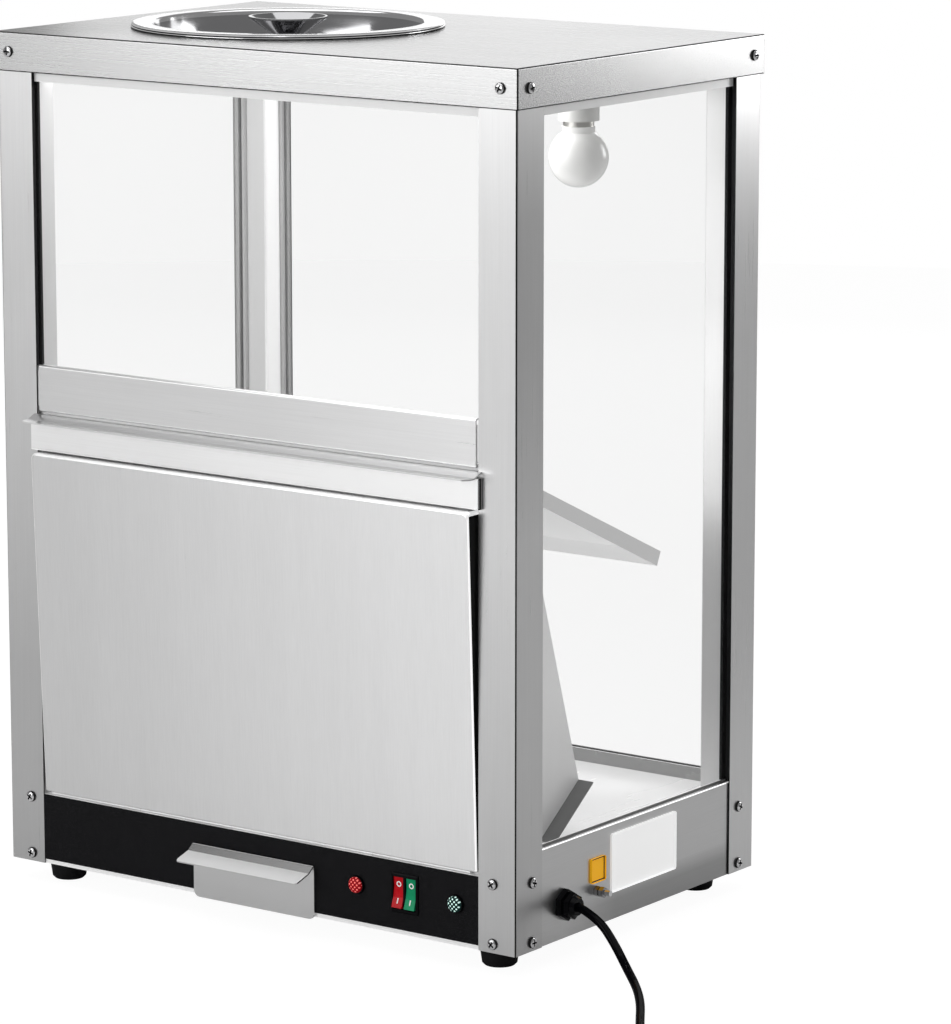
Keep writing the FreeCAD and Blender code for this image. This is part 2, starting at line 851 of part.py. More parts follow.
def hinge_parts():
    """Long pin hinge under the bin: a fixed leaf on the front rail, a moving leaf on the bin's
    inner wall, and the pin through their knuckles."""
    pitch = hinge_length / knuckle_count
    fixed = []
    moving = []
    clear = knuckle_radius + hinge_clear
    for k in range(knuckle_count):
        x0 = -hinge_length / 2 + k * pitch + knuckle_gap / 2
        x1 = x0 + pitch - knuckle_gap
        knuckle = rod(knuckle_radius, x1 - x0, (x0, hinge_y, hinge_z), X)
        if k % 2 == 0:
            low = front_rail_top
            fixed += [knuckle, solid_box(x0, x1, hinge_y, hinge_y + clear, low, low + leaf)]
        else:
            moving += [knuckle, solid_box(x0, x1, wall_y - leaf, wall_y, hinge_z,
                                          hinge_z + clear)]
    half = hinge_length / 2
    fixed.append(solid_box(-half, half, hinge_y + clear, hinge_y + leaf_width, front_rail_top,
                           front_rail_top + leaf))
    moving.append(solid_box(-half, half, wall_y - leaf, wall_y, hinge_z + clear,
                            hinge_z + leaf_width))
    bore = rod(hinge_pin_radius + hinge_fit, hinge_length + 2 * overrun,
               (-half - overrun, hinge_y, hinge_z), X)
    pin = rod(hinge_pin_radius, hinge_length, (-half, hinge_y, hinge_z), X)
    return joined(fixed).cut(bore), joined(moving).cut(bore), pin


def crumb_tray():
    """Drawer under the deck slots; its front wall is fixed to the front plate."""
    x = tray_width / 2
    y0 = plate_back
    outer = solid_box(-x, x, y0, y0 + tray_depth, tray_z, tray_z + tray_height)
    inner = solid_box(-x + thin_sheet, x - thin_sheet, y0 + thin_sheet,
                      y0 + tray_depth - thin_sheet, tray_z + thin_sheet, tray_z + 2 * tray_height)
    return outer.cut(inner)


def tray_front():
    """Front plate of the crumb tray with its pull lip, steep at first and then nearly level."""
    x = tray_plate_width / 2
    y = plate_back - sheet
    low = base - tray_plate_drop
    high = low + tray_plate_height
    path = [(y, low), (y, high), (y - tray_lip_turn_reach, high - tray_lip_turn_drop),
            (y - tray_lip_reach, high - tray_lip_drop)]
    whole = folded(path, -sheet, "yz", -x, x, bend)
    lip_end = y - tray_lip_reach - sheet
    lip_keep = solid_box(-x, x, lip_end, y + overrun, low, high + overrun)
    fore_edges = [e for e in lip_keep.Edges if e.BoundBox.ZLength > tray_plate_height
                  and e.BoundBox.YMax < lip_end + play]
    plate_keep = solid_box(-x, x, lip_end - overrun, y + overrun, low, high + overrun)
    low_edges = [e for e in plate_keep.Edges if e.BoundBox.YLength > tray_lip_reach
                 and e.BoundBox.ZMax < low + play]
    whole = whole.common(lip_keep.makeFillet(tray_lip_corner, fore_edges))
    return whole.common(plate_keep.makeFillet(tray_corner, low_edges))


def tray_runners():
    """Two angles on the base pan; the tray slides on their ledges, between their walls."""
    x = tray_width / 2 + runner_play
    y0 = front + rail_in + sheet + play
    y1 = y0 + tray_depth - play
    low = base + sheet
    wall = solid_box(x, x + thin_sheet, y0, y1, low, low + runner_height)
    ledge = solid_box(x - runner_ledge, x + thin_sheet, y0, y1, tray_z - play - thin_sheet,
                      tray_z - play)
    foot = solid_box(x, x + runner_ledge, y0, y1, low, low + thin_sheet)
    runner = joined([wall, ledge, foot])
    return group([runner, mirrored_x(runner)])


def lamp():
    """Lamp holder under the cap, the bulb's metal cap in its bore, and the round bulb."""
    z0 = cap_under - holder_length
    bore = holder_radius - holder_wall
    outline = [(bore, z0), (holder_radius, z0), (holder_radius, cap_under - holder_base),
               (holder_base_radius, cap_under - holder_base), (holder_base_radius, cap_under),
               (0, cap_under), (0, z0 + bulb_cap_length), (bore, z0 + bulb_cap_length)]
    holder = turned_outline(outline, (lamp_x, 0, 0))
    cap_low = z0 - bulb_cap_show
    metal = rod(bulb_cap_radius, bulb_cap_length, (lamp_x, 0, cap_low))
    centre = top - bulb_drop
    neck_low = centre + math.sqrt(bulb_radius ** 2 - bulb_neck_radius ** 2)
    ball = Part.makeSphere(bulb_radius, V(lamp_x, 0, centre))
    neck = rod(bulb_neck_radius, cap_low - neck_low + overrun, (lamp_x, 0, neck_low - overrun))
    return holder, metal, joined([ball, neck])


def light_body(x):
    """Indicator housing: a round rim on the panel and a barrel through it."""
    y = panel_y
    rim = [(lens_radius + play, 0), (light_radius, 0), (light_radius - play, light_rim),
           (lens_radius + play, light_rim)]
    ring = turned_outline(rim, (x, y, control_z), -Y)
    barrel = rod(light_barrel_radius, light_barrel, (x, y, control_z), Y)
    plate = rod(light_radius, thin_sheet, (x, y - thin_sheet, control_z), Y)
    return joined([ring, barrel, plate])


def light_lens(x):
    """Faceted lens seated inside the rim."""
    outline = [(0, 0), (lens_radius, 0)]
    outline += [(lens_radius * r, lens_rise * h) for r, h in lens_profile_shares] + [(0, lens_rise)]
    return turned_outline(outline, (x, panel_y - thin_sheet, control_z), -Y)


def rocker_offsets():
    wall = (bezel_width - 2 * (rocker_width + 2 * rocker_play)) / 3
    step = rocker_width / 2 + rocker_play + wall / 2
    return (-step, step)


def rocker_housing():
    """Bezel and body of the double switch, with a pocket and pivot bores for each rocker."""
    y = panel_y
    bezel = solid_box(switch_x - bezel_width / 2, switch_x + bezel_width / 2, y - bezel_rise, y,
                      control_z - bezel_height / 2, control_z + bezel_height / 2)
    front_edges = [e for e in bezel.Edges if e.BoundBox.YMax < y - bezel_rise + play / 2]
    bezel = bezel.makeChamfer(bezel_step, front_edges)
    step = bezel_step + play
    body = solid_box(switch_x - bezel_width / 2 + step, switch_x + bezel_width / 2 - step, y,
                     y + housing_depth, control_z - bezel_height / 2 + step,
                     control_z + bezel_height / 2 - step)
    whole = joined([bezel, body])
    cuts = []
    for dx in rocker_offsets():
        half = rocker_width / 2 + rocker_play
        tall = rocker_height / 2 + 2 * rocker_play
        cuts.append(solid_box(switch_x + dx - half, switch_x + dx + half,
                              y - bezel_rise - overrun, y - bezel_rise + pocket_depth,
                              control_z - tall, control_z + tall))
        pin = half + trunnion_length + rocker_play
        cuts.append(rod(trunnion_radius + hinge_fit, 2 * pin,
                        (switch_x + dx - pin, y + rocker_pivot, control_z), X))
    return whole.cut(group(cuts))


def rocker(dx):
    """Rocker with two raised ends and a hollow face, pressed in at its top when the unit is off."""
    y = panel_y
    h = rocker_height / 2 - rocker_play
    outline = [
        (y - rocker_edge + rocker_pivot, h), (y - rocker_face + rocker_pivot, h / 3),
        (y - rocker_face + rocker_pivot, -h / 3), (y - rocker_edge + rocker_pivot, -h),
        (y + rocker_pivot - rocker_play, -h), (y + rocker_pivot + rocker_back, -h / 2),
        (y + rocker_pivot + rocker_back, h / 2), (y + rocker_pivot - rocker_play, h),
    ]
    x = switch_x + dx
    body = prism([(u, v + control_z) for u, v in outline], "yz",
                 x - rocker_width / 2, x + rocker_width / 2)
    half = rocker_width / 2 + trunnion_length
    pin = rod(trunnion_radius, 2 * half, (x - half, y + rocker_pivot, control_z), X)
    whole = joined([body, pin])
    whole.rotate(V(x, y + rocker_pivot, control_z), X, -rocker_tilt)
    return whole


def heating_element():
    """Tubular heater bent to a U under the deck, with a cold pin in each end."""
    z = deck_top - sheet - element_drop
    r = element_half
    ends = [V(-r, -element_front, z), V(r, -element_front, z)]
    bends = [V(-r, element_rear, z), V(r, element_rear, z)]
    path = Part.Wire([
        Part.LineSegment(ends[0], bends[0]).toShape(),
        Part.Arc(bends[0], V(0, element_rear + r, z), bends[1]).toShape(),
        Part.LineSegment(bends[1], ends[1]).toShape(),
    ])
    ring = Part.Wire(Part.makeCircle(element_radius, ends[0], Y))
    tube = path.makePipeShell([ring], True, False)
    pins = [rod(pin_radius, pin_length, tuple(end), -Y) for end in ends]
    return joined([tube] + pins)


def heater_straps():
    """Straps that hang the heater under the deck."""
    z = deck_top - sheet
    tube_z = z - element_drop
    straps = []
    for y in (-element_front + strap_width, element_rear - strap_width):
        hang = solid_box(-element_half - strap_width / 2, -element_half + strap_width / 2,
                         y, y + sheet, tube_z - element_radius - strap_margin, z)
        foot = solid_box(-element_half - strap_width / 2, -element_half + strap_width / 2,
                         y, y + strap_foot, z - sheet, z)
        bore = rod(element_radius + hinge_fit, 2 * overrun, (-element_half, y - overrun, tube_z), Y)
        strap = joined([hang, foot]).cut(bore)
        straps += [strap, mirrored_x(strap)]
    return group(straps)


def thermostat():
    """Snap disc thermostat on the deck's underside, with two ears and two blade terminals."""
    z = deck_top - sheet
    can = rod(thermostat_radius, thermostat_height, (thermostat_x, thermostat_y, z), -Z)
    ear = solid_box(thermostat_x - thermostat_ear / 2, thermostat_x + thermostat_ear / 2,
                    thermostat_y - thermostat_ear_width / 2,
                    thermostat_y + thermostat_ear_width / 2, z - sheet, z)
    blades = [solid_box(thermostat_x + dx - sheet / 2, thermostat_x + dx + sheet / 2,
                        thermostat_y - blade_width / 2, thermostat_y + blade_width / 2,
                        z - thermostat_height - thermostat_radius, z - thermostat_height)
              for dx in (-thermostat_radius / 2, thermostat_radius / 2)]
    return joined([can, ear] + blades)


def terminal_block():
    z = base + sheet
    block = solid_box(block_x - block_length / 2, block_x + block_length / 2,
                      block_y - block_width / 2, block_y + block_width / 2, z, z + block_height)
    pitch = block_length / block_ways
    cuts = []
    for k in range(1, block_ways):
        x = block_x - block_length / 2 + k * pitch
        cuts.append(solid_box(x - block_groove / 2, x + block_groove / 2, block_y - block_width,
                              block_y + block_width, z + block_height / 2,
                              z + block_height + overrun))
    return block.cut(group(cuts))


def cable_gland():
    """Body of the gland: a hexagon against the rail and a threaded barrel through it."""
    place = (side_face, gland_y, base + gland_z)
    head = hexagon(gland_flats, gland_hex, place, X)
    barrel = rod(gland_thread_radius, gland_inside + sheet, place, -X)
    bore = rod(cord_radius + hole_play, gland_inside + gland_hex + 2 * overrun,
               (side_face - gland_inside - overrun, gland_y, base + gland_z), X)
    return joined([head, barrel]).cut(bore)


def gland_nuts():
    """Clamping nut with its tapered nose outside, and the lock nut inside the rail."""
    x0 = side_face + gland_hex
    z = base + gland_z
    nut = hexagon(gland_nut_flats, gland_nut_length, (x0, gland_y, z), X)
    r0 = gland_nut_flats / 2 - thin_sheet
    nose = Part.makeCone(r0, gland_nose_radius, gland_nose, V(x0 + gland_nut_length, gland_y, z), X)
    bore = rod(cord_radius + hole_play, gland_nut_length + gland_nose + 2 * overrun,
               (x0 - overrun, gland_y, z), X)
    lock = hexagon(locknut_flats, locknut, (side_face - sheet - locknut, gland_y, z), X)
    lock_bore = rod(gland_thread_radius + hinge_fit, 2 * overrun + locknut,
                    (side_face - sheet - locknut - overrun, gland_y, z), X)
    return group([joined([nut, nose]).cut(bore), lock.cut(lock_bore)])


def earth_stud():
    """Threaded stud through the rail with a nut on each side of the sheet and one to clamp."""
    z = base + stud_z
    stud = rod(stud_radius, stud_in + sheet + stud_out, (side_face - sheet - stud_in, stud_y, z), X)
    nuts = []
    for x in (side_face, side_face + stud_nut + thin_sheet, side_face - sheet - stud_nut):
        nut = hexagon(stud_nut_flats, stud_nut, (x, stud_y, z), X)
        bore = rod(stud_radius, stud_nut + 2 * overrun, (x - overrun, stud_y, z), X)
        nuts.append(nut.cut(bore))
    return stud, group(nuts)


def feet():
    """Tapered rubber feet, hollow below for their screw heads."""
    outline = [
        (foot_bore, 0), (foot_low_radius - foot_edge, 0), (foot_low_radius, foot_edge),
        (foot_top_radius, foot_height), (screw_radius + hole_play, foot_height),
        (screw_radius + hole_play, foot_height - foot_web), (foot_bore, foot_height - foot_web),
    ]
    return group([turned_outline(outline, (x, y, 0)) for x, y in foot_places()])


def lid_parts():
    """Lift-off dished lid, its funnel shaped knob, and the screw that holds the knob."""
    z = top + play
    rim_z = z + rim_rise
    dish_z = rim_z - dish_depth - rim_rise
    path = [(rim_radius, z), (rim_radius, rim_z), (rim_wall_radius, rim_z), (dish_radius, dish_z),
            (0, dish_z)]
    path = eased(path, lid_ease)
    pan = turned_outline(path + shifted(path, lid_sheet)[::-1], (lid_x, 0, 0))
    screw_hole = rod(screw_radius + hole_play, 2 * overrun, (lid_x, 0, dish_z - overrun))
    rim_top = top + knob_rise
    throat = rim_top - knob_cone
    outline = [
        (0, dish_z), (knob_stem_radius, dish_z), (knob_stem_radius, throat - knob_wall),
        (knob_throat_radius, throat), (knob_rim_radius, rim_top - knob_wall),
        (knob_rim_radius, rim_top), (knob_rim_radius - knob_wall, rim_top),
        (knob_throat_radius - knob_wall, throat + knob_hollow), (0, throat + knob_hollow),
    ]
    knob = turned_outline(outline, (lid_x, 0, 0))
    shank = rod(screw_radius + hole_play, screw_length, (lid_x, 0, dish_z - lid_sheet))
    hold = screw(V(lid_x, 0, dish_z - lid_sheet), -Z)
    return pan.cut(screw_hole), knob.cut(shank), hold


def route_edges(points):
    """Straight runs joined by tangent arcs, each arc as large as its two runs allow."""
    edges = []
    radii = []
    here = points[0]
    for k in range(1, len(points) - 1):
        before = points[k] - points[k - 1]
        after = points[k + 1] - points[k]
        shorter = min(before.Length, after.Length)
        turn = before.getAngle(after)
        cut = bend_share * shorter
        radius = cut / math.tan(turn / 2)
        d0 = before.normalize()
        d1 = after.normalize()
        a = points[k] - d0 * cut
        b = points[k] + d1 * cut
        to_centre = (d1 - d0).normalize()
        centre = points[k] + to_centre * (radius / math.cos(turn / 2))
        edges.append(Part.LineSegment(here, a).toShape())
        edges.append(Part.Arc(a, centre - to_centre * radius, b).toShape())
        radii.append(radius)
        here = b
    edges.append(Part.LineSegment(here, points[-1]).toShape())
    return edges, radii


def tube(edges, name):
    """Many-sided tube along joined edges; its volume is compared with section times length."""
    path = Part.Wire(edges)
    start = edges[0].valueAt(edges[0].FirstParameter)
    out = edges[0].tangentAt(edges[0].FirstParameter)
    corners = [V(cord_radius * math.cos(k * 2 * math.pi / cord_sides),
                 cord_radius * math.sin(k * 2 * math.pi / cord_sides), 0)
               for k in range(cord_sides)]
    ring = Part.makePolygon(corners + corners[:1])
    section = Part.Face(ring).Area
    ring.Placement = FreeCAD.Placement(start, FreeCAD.Rotation(Z, out))
    solid = path.makePipeShell([ring], True, False)
    length = sum(e.Length for e in edges)
    ratio = solid.Volume / (section * length)
    print("%s: length %.1f, volume over section times length %.4f" % (name, length, ratio))
    return solid, length


def coil_edges(start, heading):
    """Turns of the put-away cord: half turns that spiral in on the floor, climb one layer in the
    half turn where the spiral reverses, and spiral out again on top."""
    step = (2 * cord_radius + cord_gap) / 2
    radii = [coil_least_radius + step * (coil_radii_in - k) for k in range(coil_radii_in)]
    radii.append(coil_least_radius)
    radii += [coil_least_radius + step * (k + 1) for k in range(coil_radii_out)]
    edges = []
    p = V(start)
    f = V(heading)
    q = V(f.y, -f.x, 0)
    rise = 2 * cord_radius + cord_gap
    for k, r in enumerate(radii):
        if k == coil_radii_in:
            reach = math.sqrt(r ** 2 + rise ** 2 / 4)
            middle = p + q * r + f * reach + Z * (rise / 2)
            end = p + q * (2 * r) + Z * rise
            edges.append(bend_through(p, f, middle))
            edges.append(bend_through(end, f, middle, True))
        else:
            end = p + q * (2 * r)
            edges.append(Part.Arc(p, p + q * r + f * r, end).toShape())
        p = end
        f = -f
        q = -q
    edges.append(Part.LineSegment(p, p + f * cord_tail).toShape())
    return edges, p + f * cord_tail, f


def bend_through(start, tangent, end, backwards=False):
    """Arc that leaves a point along a tangent and ends at another point."""
    chord = end - start
    out = chord.cross(tangent.cross(chord)).normalize()
    half = chord.getAngle(tangent)
    sag = chord.Length / 2 * math.tan(half / 2)
    middle = start + chord / 2 + out * sag
    if backwards:
        return Part.Arc(end, middle, start).toShape()
    return Part.Arc(start, middle, end).toShape()


def least_gap(edges):
    """Least clear gap between stretches of the coil that aren't neighbours along it."""
    points = []
    for e in edges:
        points += e.discretize(max(2, int(e.Length / cord_radius)))[:-1]
    run = [0.0]
    for a, b in zip(points, points[1:]):
        run.append(run[-1] + (b - a).Length)
    gaps = [(a - b).Length - 2 * cord_radius
            for i, a in enumerate(points) for j, b in enumerate(points[:i])
            if run[i] - run[j] > 4 * coil_least_radius]
    return min(gaps)


def cord_parts():
    """Mains cord: the free run from the gland, the coil of its spare length, and the plug."""
    exit_x = side_face + gland_hex + gland_nut_length + gland_nose
    start = V(exit_x, gland_y, base + gland_z)
    points = [start] + [V(*p) for p in cord_route] + [V(*coil_start)]
    edges, radii = route_edges(points)
    print("cord run radii:", [round(r, 1) for r in radii])
    run, run_length = tube(edges, "cord_run")
    heading = (points[-1] - points[-2]).normalize()
    turns, tail_end, out = coil_edges(points[-1], heading)
    print("coil: least gap to itself %.2f" % least_gap(turns))
    coil, coil_length = tube(turns, "cord_coil")
    print("cord length %.1f" % (run_length + coil_length))
    return run, coil, tail_end, out


def plug_parts(place, out):
    """Moulded three pin plug lying on the floor, with its tapered relief and its blades."""
    half_height = place.z - seat_gap / 2
    relief = Part.makeCone(cord_radius + thin_sheet, plug_relief_radius, plug_relief, V(0, 0, 0), Z)
    body = solid_box(-plug_width / 2, plug_width / 2, -half_height, half_height,
                     plug_relief, plug_relief + plug_length)
    body = body.makeFillet(plug_edge, [e for e in body.Edges
                                       if e.BoundBox.ZMin < plug_relief + plug_length - play])
    face = plug_relief + plug_length
    blades = [solid_box(dx - blade_thick / 2, dx + blade_thick / 2, -blade_width / 2,
                        blade_width / 2, face, face + blade_length)
              for dx in (-blade_spread / 2, blade_spread / 2)]
    pin = rod(earth_pin_radius, earth_pin_length, (0, half_height - earth_pin_offset, face))
    side = V(out.y, -out.x, 0)
    turn = FreeCAD.Rotation(side, Z, out, "ZXY")
    where = FreeCAD.Placement(place, turn)
    plug = joined([relief, body])
    pins = group(blades + [pin])
    for shape in (plug, pins):
        shape.Placement = where
    return plug, pins


def build():
    posts = corner_posts()
    seats = seat_angles()
    fixed_leaf, moving_leaf, hinge_pin = hinge_parts()
    holder, bulb_cap, bulb = lamp()
    stud, stud_nuts = earth_stud()
    lid_pan, lid_knob, knob_screw = lid_parts()
    run, coil, tail_end, out = cord_parts()
    plug, plug_pins = plug_parts(tail_end, out)
    left_cheek = bin_cheek()
    rockers = [rocker(dx) for dx in rocker_offsets()]
    parts = {
        "top_cap": top_cap(),
        "post_front_left": posts[0],
        "post_front_right": posts[1],
        "post_rear_left": posts[2],
        "post_rear_right": posts[3],
        "seat_angles_front": group(seats[:2]),
        "seat_angles_rear": group(seats[2:]),
        "glass_seals": glass_seals(),
        "glass_channels": glass_channels(),
        "side_rail_left": side_rail(),
        "side_rail_right": mirrored_x(side_rail()).cut(gland_bores()),
        "rear_rail": rear_rail(),
        "front_rail": front_rail(),
        "control_panel": control_panel(),
        "base_pan": base_pan(),
        "deck_plate": deck_plate(),
        "cross_rail": cross_rail(),
        "baffle": baffle(),
        "lamp_holder": holder,
        "bulb_cap": bulb_cap,
        "bulb": bulb,
        "hinge_fixed_leaf": fixed_leaf,
        "hinge_pin": hinge_pin,
        "tray_runners": tray_runners(),
        "rocker_housing": rocker_housing(),
        "indicator_bodies": group([light_body(red_light_x), light_body(green_light_x)]),
        "red_lens": light_lens(red_light_x),
        "green_lens": light_lens(green_light_x),
        "heating_element": heating_element(),
        "heater_straps": heater_straps(),
        "thermostat": thermostat(),
        "terminal_block": terminal_block(),
        "cable_gland": cable_gland(),
        "gland_nuts": gland_nuts(),
        "earth_stud": stud,
        "earth_stud_nuts": stud_nuts,
        "feet": feet(),
        "case_screws": case_screws(),
        "cord_run": run,
        "cord_coil": coil,
        "plug": plug,
        "plug_pins": plug_pins,
        "lid_pan": lid_pan,
        "lid_knob": lid_knob,
        "knob_screw": knob_screw,
        "bin_skin": bin_skin(),
        "bin_strip": bin_strip(),
        "bin_front_wall": bin_front_wall(),
        "bin_floor": bin_floor(),
        "bin_cheek_left": left_cheek,
        "bin_cheek_right": mirrored_x(left_cheek),
        "hinge_moving_leaf": moving_leaf,
        "crumb_tray": crumb_tray(),
        "tray_front": tray_front(),
        "rocker_red": rockers[0],
        "rocker_green": rockers[1],
    }
    parts.update(glass_panes())
    return parts


def row_origin():
    """Middle of the unit's own box on the floor, without the cord: screw heads on the cap's left
    and rear, the gland's nose on the right and the edge of the tray's lip in front."""
    x_low = -half_w - cap_overhang - screw_head
    x_high = side_face + gland_hex + gland_nut_length + gland_nose
    lip_run = tray_lip_reach - tray_lip_turn_reach
    lip_fall = tray_lip_drop - tray_lip_turn_drop
    lip_edge = sheet * lip_fall / math.hypot(lip_run, lip_fall)
    y_low = plate_back - sheet - tray_lip_reach - lip_edge
    y_high = half_d + cap_overhang + screw_head
    return V((x_low + x_high) / 2, (y_low + y_high) / 2, 0)


os.makedirs("parts", exist_ok=True)
origin = row_origin()
print("row origin in the cabinet's own place:", plain(origin))
for node, shape in build().items():
    shape.translate(-origin)
    if not shape.isValid():
        print("not valid:", node)
    shape.exportStep("parts/%s.step" % node)
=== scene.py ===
import math

import bpy
from mathutils import Matrix, Vector


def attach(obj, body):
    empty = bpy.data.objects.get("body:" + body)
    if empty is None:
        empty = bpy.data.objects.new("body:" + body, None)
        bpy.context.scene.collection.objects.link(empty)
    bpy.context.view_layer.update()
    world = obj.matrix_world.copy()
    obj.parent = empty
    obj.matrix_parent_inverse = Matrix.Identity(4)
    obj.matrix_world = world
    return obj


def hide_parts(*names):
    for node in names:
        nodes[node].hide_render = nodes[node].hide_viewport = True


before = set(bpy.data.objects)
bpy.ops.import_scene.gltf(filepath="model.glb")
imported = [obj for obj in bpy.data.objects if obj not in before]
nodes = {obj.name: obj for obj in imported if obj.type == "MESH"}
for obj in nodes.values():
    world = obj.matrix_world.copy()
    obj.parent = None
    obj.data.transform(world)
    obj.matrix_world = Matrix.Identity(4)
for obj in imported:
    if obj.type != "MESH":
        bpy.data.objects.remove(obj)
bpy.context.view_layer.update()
scene = bpy.context.scene
mm = 0.001
# The cabinet's own middle lies this far from the frame's origin.
middle_x, middle_y = -4.25 * mm, 10.7253 * mm


# Camera. It stands to the right of the front, a little above the cap, and looks slightly down
# through a long lens.
camera_place = (2.5251 + middle_x, -3.3423 + middle_y, 1.1459)
camera_turn = (math.radians(79.05), 0.0, math.radians(35.92))
camera = bpy.data.objects.new("camera", bpy.data.cameras.new("camera"))
camera.location = camera_place
camera.rotation_euler = camera_turn
camera.data.lens = 170.66
camera.data.sensor_width = 36.0
camera.data.clip_start = 0.1
camera.data.clip_end = 40.0
scene.collection.objects.link(camera)
scene.camera = camera
scene.view_settings.view_transform = "Standard"


# Mains cord. A round three-core lead with a glossy black sheath: it droops from the gland to the
# floor, runs out to the side and is wound into a flat coil of two layers beside its plug.
class Wire:
    """A shader socket that takes part in Python sums; each sum adds its own Math node."""

    def __init__(self, nodes_of, socket):
        self.nodes_of = nodes_of
        self.socket = socket

    def math(self, operation, *others):
        return self.nodes_of.make("ShaderNodeMath", {"operation": operation},
                                  (self,) + others)

    def __add__(self, other):
        return self.math("ADD", other)

    __radd__ = __add__

    def __sub__(self, other):
        return self.math("SUBTRACT", other)

    def __rsub__(self, other):
        return self.nodes_of.make("ShaderNodeMath", {"operation": "SUBTRACT"}, (other, self))

    def __mul__(self, other):
        return self.math("MULTIPLY", other)

    __rmul__ = __mul__

    def __truediv__(self, other):
        return self.math("DIVIDE", other)

    def __gt__(self, other):
        return self.math("GREATER_THAN", other)

    def __lt__(self, other):
        return self.math("LESS_THAN", other)

    def clipped(self):
        held = self.math("ADD", 0.0)
        held.socket.node.use_clamp = True
        return held

    def rising(self, start, end):
        """0 up to start, 1 from end on and even between them; end may be the lower one."""
        return ((self - start) / (end - start)).clipped()


class Finish:
    """One material: a Principled shader, and methods that add other nodes to it."""

    def __init__(self, name, colour, roughness, metallic=0.0, **settings):
        self.material = bpy.data.materials.new(name)
        self.material.use_nodes = True
        self.tree = self.material.node_tree
        self.shader = self.tree.nodes["Principled BSDF"]
        self.set("Base Color", colour)
        self.set("Roughness", roughness)
        self.set("Metallic", metallic)
        for key, value in settings.items():
            self.set(key.replace("_", " "), value)

    def make(self, kind, settings=None, values=(), output=0):
        node = self.tree.nodes.new(kind)
        for key, value in (settings or {}).items():
            setattr(node, key, value)
        pairs = values.items() if isinstance(values, dict) else enumerate(values)
        for key, value in pairs:
            self.feed(node.inputs[key], value)
        return Wire(self, node.outputs[output])

    def feed(self, socket, value):
        if isinstance(value, Wire):
            self.tree.links.new(value.socket, socket)
        elif socket.type == "RGBA" and len(value) == 3:
            socket.default_value = (*value, 1.0)
        else:
            socket.default_value = value

    def set(self, name, value):
        self.feed(self.shader.inputs[name], value)
        return self

    def place(self):
        return self.make("ShaderNodeTexCoord", output="Object")

    def axes(self):
        """Object coordinates along x, y and z."""
        parts = self.make("ShaderNodeSeparateXYZ", {}, (self.place(),))
        return [Wire(self, out) for out in parts.socket.node.outputs]

    def leaning(self):
        """The surface's direction along x, y and z, each from -1 to 1."""
        normal = self.make("ShaderNodeTexCoord", output="Normal")
        parts = self.make("ShaderNodeSeparateXYZ", {}, (normal,))
        return [Wire(self, out) for out in parts.socket.node.outputs]

    def facing(self):
        """How squarely the surface faces x, y and z, each from 0 to 1."""
        return [wire.math("ABSOLUTE") for wire in self.leaning()]

    def tinted(self, where, tone):
        """Puts a tone over the base colour where the mask is one."""
        self.tone = self.mix(where, self.tone, tone)
        return self.set("Base Color", self.tone)

    def dimmed(self, where, share):
        """Leaves only a share of the base colour where the mask is one."""
        self.tone = self.mix(where, self.tone, (share, share, share), "MULTIPLY")
        return self.set("Base Color", self.tone)

    def stretched(self, scales):
        """Object coordinates, drawn out along the axes that have the small scales."""
        return self.make("ShaderNodeMapping", {}, {"Vector": self.place(), "Scale": scales})

    def noise(self, vector, scale, detail=2.0):
        return self.make("ShaderNodeTexNoise", {},
                         {"Vector": vector, "Scale": scale, "Detail": detail})

    def mix(self, factor, a, b, blend="MIX"):
        return self.make("ShaderNodeMix", {"data_type": "RGBA", "blend_type": blend},
                         {0: factor, 6: a, 7: b}, output=2)

    def bump(self, height, strength, distance):
        bumped = self.make("ShaderNodeBump", {}, {"Strength": strength, "Distance": distance,
                                                  "Height": height})
        return self.set("Normal", bumped)


def finish_nodes(finish, *names):
    """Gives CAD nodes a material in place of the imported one."""
    for name in names:
        nodes[name].data.materials.clear()
        nodes[name].data.materials.append(finish.material)


def cabinet_point(x, y, z):
    """A place given in millimetres from the cabinet's middle, in the frame's own metres."""
    return (x * mm + middle_x, y * mm + middle_y, z * mm)


cord_diameter, cord_length = 7.4, 1953.0
cord_lie = 3.8
gland_end = (289.8, -109.0, 48.5)
cord_route = [
    gland_end, (311.0, -111.0, 42.5), (331.0, -116.0, 25.0), (351.0, -127.0, 9.5),
    (377.0, -151.0, cord_lie), (406.0, -188.0, cord_lie), (436.0, -234.0, cord_lie),
    (469.0, -281.0, cord_lie), (504.0, -322.0, cord_lie),
]
coil_pitch = 8.0
coil_least_radius = 30.0
coil_in, coil_out = 6, 5
coil_points = 8
cord_tail = 44.0


def cord_line():
    """The route's points, then those of the coil: half turns that spiral in on the floor, climb
    one layer in the half turn where the spiral reverses, and spiral out again on top."""
    points = [Vector(p) for p in cord_route]
    start = points[-1]
    ahead = (points[-1] - points[-2]).normalized()
    step = coil_pitch / 2
    radii = [coil_least_radius + step * (coil_in - k) for k in range(coil_in)]
    radii += [coil_least_radius + step * k for k in range(coil_out + 1)]
    swell = 1 / math.cos(math.pi / coil_points / 2)
    for k, radius in enumerate(radii):
        side = Vector((ahead.y, -ahead.x, 0.0))
        centre = start + side * radius
        for i in range(coil_points):
            share = (i + 0.5) / coil_points
            angle = math.pi * share
            rise = coil_pitch * (1 - math.cos(angle)) / 2 if k == coil_in else 0.0
            out = side * (-math.cos(angle)) + ahead * math.sin(angle)
            points.append(centre + out * (radius * swell) + Vector((0.0, 0.0, rise)))
        start = centre + side * radius
        if k == coil_in:
            start.z += coil_pitch
        ahead = -ahead
    points += [start + ahead * (cord_tail * share) for share in (0.25, 0.6, 1.0)]
    return [cabinet_point(*p) for p in points]


